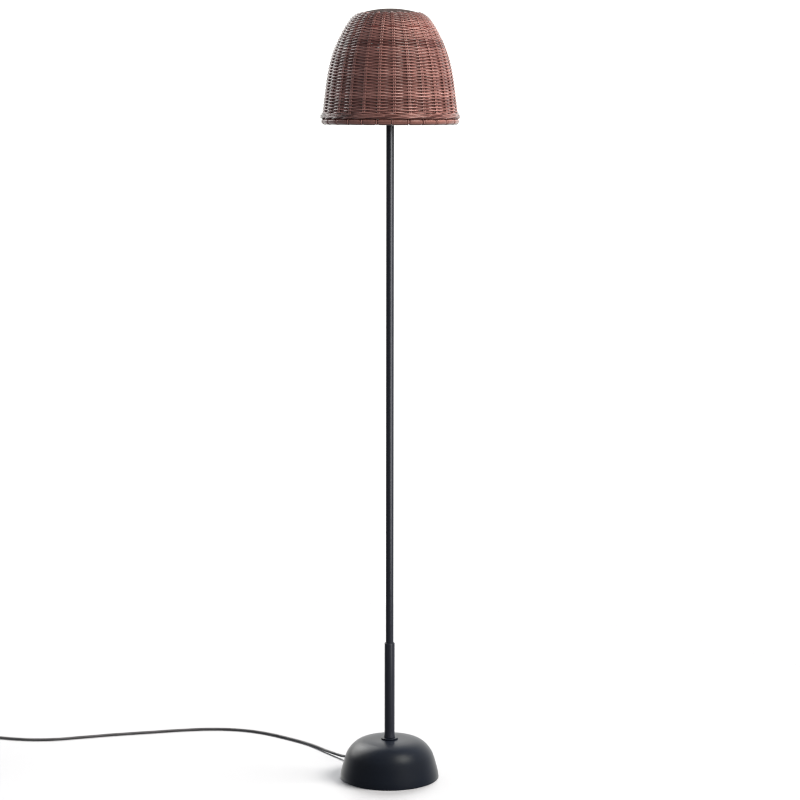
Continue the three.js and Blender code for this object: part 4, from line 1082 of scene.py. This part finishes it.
def add_stem():
    low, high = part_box("collar_ring")
    collar = ring_section(TIE_ROD_HOLE, high.x, low.z, high.z)
    add_stem_tube("stem_collar", "collar_ring", collar, 1.1 * MM, powder_coat)
    low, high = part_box("lower_sleeve")
    sleeve = [(SLEEVE_BORE, low.z), (high.x, low.z), (high.x, low.z + SLEEVE_RIM)]
    sleeve += [(SLEEVE_RADIUS + out * MM, low.z + height * MM) for out, height in SLEEVE_FLARE]
    sleeve += [(SLEEVE_RADIUS, high.z - LIP_CHAMFER), (SLEEVE_RADIUS - LIP_CHAMFER, high.z)]
    sleeve.append((SLEEVE_BORE, high.z))
    add_stem_tube("stem_sleeve", "lower_sleeve", sleeve, 0.4 * MM, stem_coat_painted_light)
    low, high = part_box("upper_pole")
    pole = ring_section(POLE_BORE, high.x, low.z, high.z)
    add_stem_tube("stem_pole", "upper_pole", pole, 0.3 * MM, stem_coat_painted_light)


# Foot switch, plug, lampholder and bulb


def pulled_apart(name, profile, node, still):
    """A solid of revolution whose two halves are pulled apart along Y to fill a node's box. What lies
    nearer the axis than still stays round."""
    steps = 64
    low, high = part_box(node)
    pull = ((high.y - low.y) - (high.x - low.x)) / 2
    turn = Matrix.Rotation(math.pi / steps, 4, "Z")
    mesh = spun(name, profile, steps, ring=True, turn=turn)
    shape = bmesh.new()
    shape.from_mesh(mesh)
    bpy.data.meshes.remove(mesh)
    for vertex in shape.verts:
        if math.hypot(vertex.co.x, vertex.co.y) > still:
            vertex.co.y += math.copysign(pull, vertex.co.y)
    bmesh.ops.translate(shape, vec=(*box_middle(node).xy, 0), verts=shape.verts)
    return finished(name, shape)


def add_switch_shells():
    """The switch's cover, with a round hole for the button, and its base."""
    wall = 2 * MM
    low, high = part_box("switch_cover")
    radius = (high.x - low.x) / 2
    edge, hole, ease = 3 * MM, 12.5 * MM, 0.6 * MM
    roof = high.z - wall
    cover = [(radius - wall, low.z), (radius, low.z), *quarter_round(radius - edge, high.z - edge, edge)]
    cover += [(hole + ease, high.z), (hole + ease / 4, high.z - ease / 4), (hole, high.z - ease)]
    cover += [(hole, roof), (radius - wall, roof)]
    mesh = pulled_apart("switch_top", cover, "switch_cover", still=hole + 0.7 * MM)
    new_piece("switch_top", mesh, black_plastic, replaces=["switch_cover"])
    low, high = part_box("switch_base")
    eye, foot_edge = 1 * MM, 1.2 * MM
    recess = low.z + wall
    floor_top = recess + wall
    base = [(radius - wall, high.z), (radius, high.z), (radius, low.z + foot_edge)]
    base += [(radius - foot_edge / 3, low.z + foot_edge / 4), (radius - foot_edge, low.z)]
    base += [(radius - wall, low.z), (radius - wall, recess), (eye, recess)]
    base += [(eye, floor_top), (radius - wall, floor_top)]
    mesh = pulled_apart("switch_bottom", base, "switch_base", still=2 * eye)
    new_piece("switch_bottom", mesh, black_plastic, replaces=["switch_base"])


def add_button():
    """The button, with rings on its top for the sole of a shoe."""
    low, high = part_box("switch_button")
    middle = box_middle("switch_button")
    flange, radius, edge = high.x - middle.x, 12 * MM, 2 * MM
    flange_top = low.z + 1.6 * MM
    profile = [(0, low.z), (flange, low.z), (flange, flange_top), (radius, flange_top)]
    profile += quarter_round(radius - edge, high.z - edge, edge)
    first, pitch, bank, depth = 8.9 * MM, 1.6 * MM, 0.3 * MM, 0.4 * MM
    for i in range(5):
        groove = first - pitch * i
        profile += [(groove, high.z), (groove - bank, high.z - depth)]
        profile += [(groove - 2 * bank, high.z - depth), (groove - 3 * bank, high.z)]
    profile.append((0, high.z))
    turning = {"steps": 64, "crease": 30, "place": (middle.x, middle.y, 0)}
    add_turned("foot_button", profile, black_plastic, "black_plastic", "switch_button", "button", **turning)


def add_spring():
    """The coil spring under the button, which is pressed together as the button goes down."""
    low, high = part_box("switch_spring")
    middle = box_middle("switch_spring")
    thick, rounds, steps = 0.45 * MM, 5, 24
    radius, tall = (high.x - low.x) / 2 - thick, high.z - low.z - 2 * thick
    line = []
    for i in range(rounds * steps + 1):
        height = low.z + thick + tall * i / (rounds * steps)
        line.append(around(TURN * i / steps, radius, height, middle))
    mesh = joined("coil_spring", [tube_mesh("coil_spring", line, thick)])
    spring = new_piece("coil_spring", mesh, zinc, replaces=["switch_spring"])
    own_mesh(spring)


def add_grips():
    """Rubber sleeves with ribs, that keep the flex from kinking at the switch."""
    switch_y = box_middle("switch_base").y
    bore, thick, thin = 3.1 * MM, 4.5 * MM, 3.5 * MM
    ribs, ribbed, pitch, groove = 6, 19.2 * MM, 3.1 * MM, 0.4 * MM
    for node, side in [("switch_grip_in", 1), ("switch_grip_out", -1)]:
        low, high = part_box(node)
        near, far = sorted([abs(low.y - switch_y), abs(high.y - switch_y)])
        profile = [(bore, near), (thick, near)]
        for i in range(ribs):
            rib = far - ribbed + i * pitch
            radius = thick + (thin - thick) * i / (ribs - 1)
            profile += [(radius, rib), (radius, rib + 2.1 * MM)]
            profile += [(radius - groove, rib + 2.3 * MM), (radius - groove, rib + 2.9 * MM)]
        profile += [(thin, far - 0.5 * MM), (thin - 0.2 * MM, far), (bore, far)]
        name = node.replace("switch_grip", "ribbed_grip")
        turn = Matrix.Rotation(-side * math.pi / 2, 4, "X")
        turning = {"steps": 40, "ring": True, "place": in_line(switch_y, SWITCH_MIDDLE), "turn": turn}
        add_turned(name, profile, rubber, "black_rubber", node, **turning)


def add_boot_rings():
    """Rings round the plug's boot, which is slimmest where the flex comes out."""
    boot_x, boot_end = box_middle("plug_body").x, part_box("plug_body")[1].y
    slim, stout, boot_length = 3.5 * MM, 5.4 * MM, 22 * MM
    rings = []
    for i in range(5):
        from_end = (3 + 3.6 * i) * MM
        radius = slim + (stout - slim) * from_end / boot_length
        ring = circle(32, radius, boot_end - from_end, (boot_x, PLUG_MIDDLE))
        rings.append(tube_mesh("boot_ring", [point.xzy for point in ring], 0.7 * MM, closed=True))
    new_piece("plug_boot_rings", joined("plug_boot_rings", rings), black_plastic)


def add_pins():
    """The plug's round pins, with rounded ends."""
    for node in ("plug_pin_1", "plug_pin_2"):
        low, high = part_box(node)
        middle = box_middle(node)
        radius, tall = (high.x - low.x) / 2, high.y - low.y
        profile = [(0, 0), (radius, 0), *quarter_round(0, tall - radius, radius)]
        name = node.replace("plug_pin", "round_pin")
        turn = Matrix.Rotation(math.pi / 2, 4, "X")
        foot = (middle.x, high.y, middle.z)
        add_turned(name, profile, nickel, "pin_metal", node, steps=24, place=foot, turn=turn)


def add_bulb():
    """The glass: a neck in the cap, a waist and a round top."""
    low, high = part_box("bulb_globe")
    radius = (high.x - low.x) / 2
    neck, foot, middle = 12.4 * MM, low.z + 6.3 * MM, high.z - radius
    outside = [(neck, low.z), (neck, foot)]
    for radius_share, height_share in [(0.45, 0.17), (0.6, 0.44), (0.82, 0.72)]:
        outside.append((radius_share * radius, foot + height_share * (middle - foot)))
    outside += quarter_round(0, middle, radius, 8)
    line = smooth_line([(x, 0, z) for x, z in outside], 2 * MM)
    profile = [(0, low.z), *[(max(point.x, 0), point.z) for point in line[:-1]], (0, high.z)]
    add_turned("opal_bulb", profile, opal, "bulb_glass", "bulb_globe", steps=64)


def add_lampholder_shell():
    """The shell that the shade's rings screw on to, with its thread."""
    low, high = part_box("holder_shell")
    radius, bore = high.x, high.x - 1.6 * MM
    threads, depth, chamfer = 12, 0.5 * MM, 0.4 * MM
    first, last = low.z + 9 * MM, high.z - 2 * MM
    pitch = (last - first) / threads
    profile = [(bore, low.z), (radius, low.z)]
    for i in range(threads):
        profile += [(radius, first + i * pitch), (radius - depth, first + (i + 0.5) * pitch)]
    profile += [(radius, last), (radius, high.z - chamfer), (radius - chamfer, high.z), (bore, high.z)]
    turning = {"steps": 64, "ring": True, "crease": 30}
    add_turned("threaded_shell", profile, holder_plastic, "holder_plastic", "holder_shell", **turning)


def add_wire_frame():
    """A flat ring on the lampholder, three arms and a hoop inside the rim."""
    lower_ring, upper_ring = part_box("shade_ring_lower")[1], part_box("shade_ring_upper")[0]
    ring_low, ring_high = lower_ring.z + PIECE_GAP, upper_ring.z - PIECE_GAP
    bore, outer = 19.8 * MM, lower_ring.x + 4 * MM
    ring = eased(ring_section(bore, outer, ring_low, ring_high), 0.8 * MM, ring=True)
    hoop_wire, arm_wire = 2 * MM, 1.5 * MM
    hoop_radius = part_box("wire_frame")[1].x - hoop_wire
    hoop_height = box_middle("rim_hoop").z
    hoop = circle(128, hoop_radius, hoop_height)
    meshes = [spun("ring", ring, 64, ring=True)]
    meshes.append(tube_mesh("hoop", hoop, hoop_wire, sides=12, closed=True))
    for arm in range(3):
        angle = math.pi / 2 + TURN * arm / 3
        start = around(angle, outer - arm_wire, (ring_low + ring_high) / 2)
        end = around(angle, hoop_radius, hoop_height)
        line = [start.lerp(end, i / 12) for i in range(13)]
        meshes.append(tube_mesh("arm", line, arm_wire, sides=12))
    new_piece("welded_frame", joined("welded_frame", meshes), wire, replaces=["wire_frame"])


def finish_nodes():
    """Gives the nodes that keep their CAD shape the finish of their kind."""
    for material, names in NODE_FINISHES:
        for name in names:
            dress(nodes[name], material)


braid = braided_flex()
powder_coat = black_powder_coat("black_powder_coat", (0.0066, 0.009, 0.0148), (0.0094, 0.0112, 0.0154))
# A lighter copy of the black powder coat for the stem: painted light, standing in for the light its front
# misses.
stem_coat_painted_light = black_powder_coat("stem_powder_coat_painted_light", (0.018, 0.02, 0.028), (0.022, 0.0235, 0.031))
stained_cane = cane("stained_cane", (0.19, 0.081, 0.069), (0.47, 0.226, 0.193))
# A darker copy of the stained cane for the upper rows: painted shade on the upward-facing top.
top_cane_painted_shade = cane("top_cane_painted_shade", (0.11, 0.046, 0.041), (0.44, 0.205, 0.175))
red_cane = cane("red_cane", (0.2, 0.055, 0.045), (0.42, 0.15, 0.115))
hoop_cane = cane("hoop_cane", (0.19, 0.078, 0.066), (0.42, 0.196, 0.161))
border_cane = cane("border_cane", (0.145, 0.06, 0.051), (0.375, 0.181, 0.152))
dark_wood = turned_wood()
zinc = bright_metal("zinc_plate", (0.62, 0.63, 0.64))
brass = bright_metal("brass", (0.72, 0.5, 0.22), 0.25)
nickel = bright_metal("nickel_plate", (0.66, 0.63, 0.58), 0.2)
iron = grey_cast_iron()
felt = pressed_felt()
rubber = moulded("black_rubber", (0.012, 0.012, 0.013), (0.022, 0.022, 0.024), 0.6, 500.0, 0.06 * MM)
pale_plastic = moulded("pale_plastic", (0.62, 0.6, 0.56), (0.72, 0.7, 0.66), 0.4)
black_plastic = moulded("black_plastic", (0.01, 0.01, 0.011), (0.018, 0.018, 0.02), 0.34)
holder_plastic = moulded("holder_plastic", (0.012, 0.012, 0.013), (0.02, 0.02, 0.022), 0.28)
strap = moulded("tie_strap", (0.01, 0.01, 0.01), (0.03, 0.03, 0.031), 0.7, 1500.0, 0.2 * MM)
porcelain = glazed_porcelain()
opal = opal_glass()
wire = moulded("painted_wire", (0.01, 0.01, 0.011), (0.02, 0.02, 0.021), 0.4)

NODE_FINISHES = [
    (felt, ["foot_ring"]),
    (zinc, ["base_cover", "cover_screw_1", "cover_screw_2", "cover_screw_3", "tie_rod"]),
    (zinc, ["tie_rod_washer", "tie_rod_nut", "grub_screw", "holder_nipple"]),
    (zinc, ["clamp_screw_1", "clamp_screw_2", "switch_screw_1", "switch_screw_2"]),
    (iron, ["ballast_disc"]),
    (rubber, ["cord_bushing"]),
    (pale_plastic, ["cord_clamp", "switch_contact_block"]),
    (braid, ["inner_lead"]),
    (strap, ["coil_tie"]),
    (brass, ["sleeve_insert", "pole_insert", "centre_contact", "side_contact"]),
    (brass, ["switch_terminal_in", "switch_terminal_out"]),
    (black_plastic, ["guide_bush", "plug_body"]),
    (holder_plastic, ["holder_cap", "shade_ring_lower", "shade_ring_upper"]),
    (porcelain, ["holder_core"]),
    (nickel, ["bulb_cap"]),
    (opal, ["bulb_stem"]),
]

add_camera()
add_cords()
add_floor()
add_surroundings()
for sun in SUNS:
    add_sun(*sun)
set_picture()
finish_nodes()
add_shade()
add_base_shell()
add_stem()
add_bulb()
add_lampholder_shell()
add_wire_frame()
for strip in STEM_STRIPS:
    add_stem_strip(*strip)
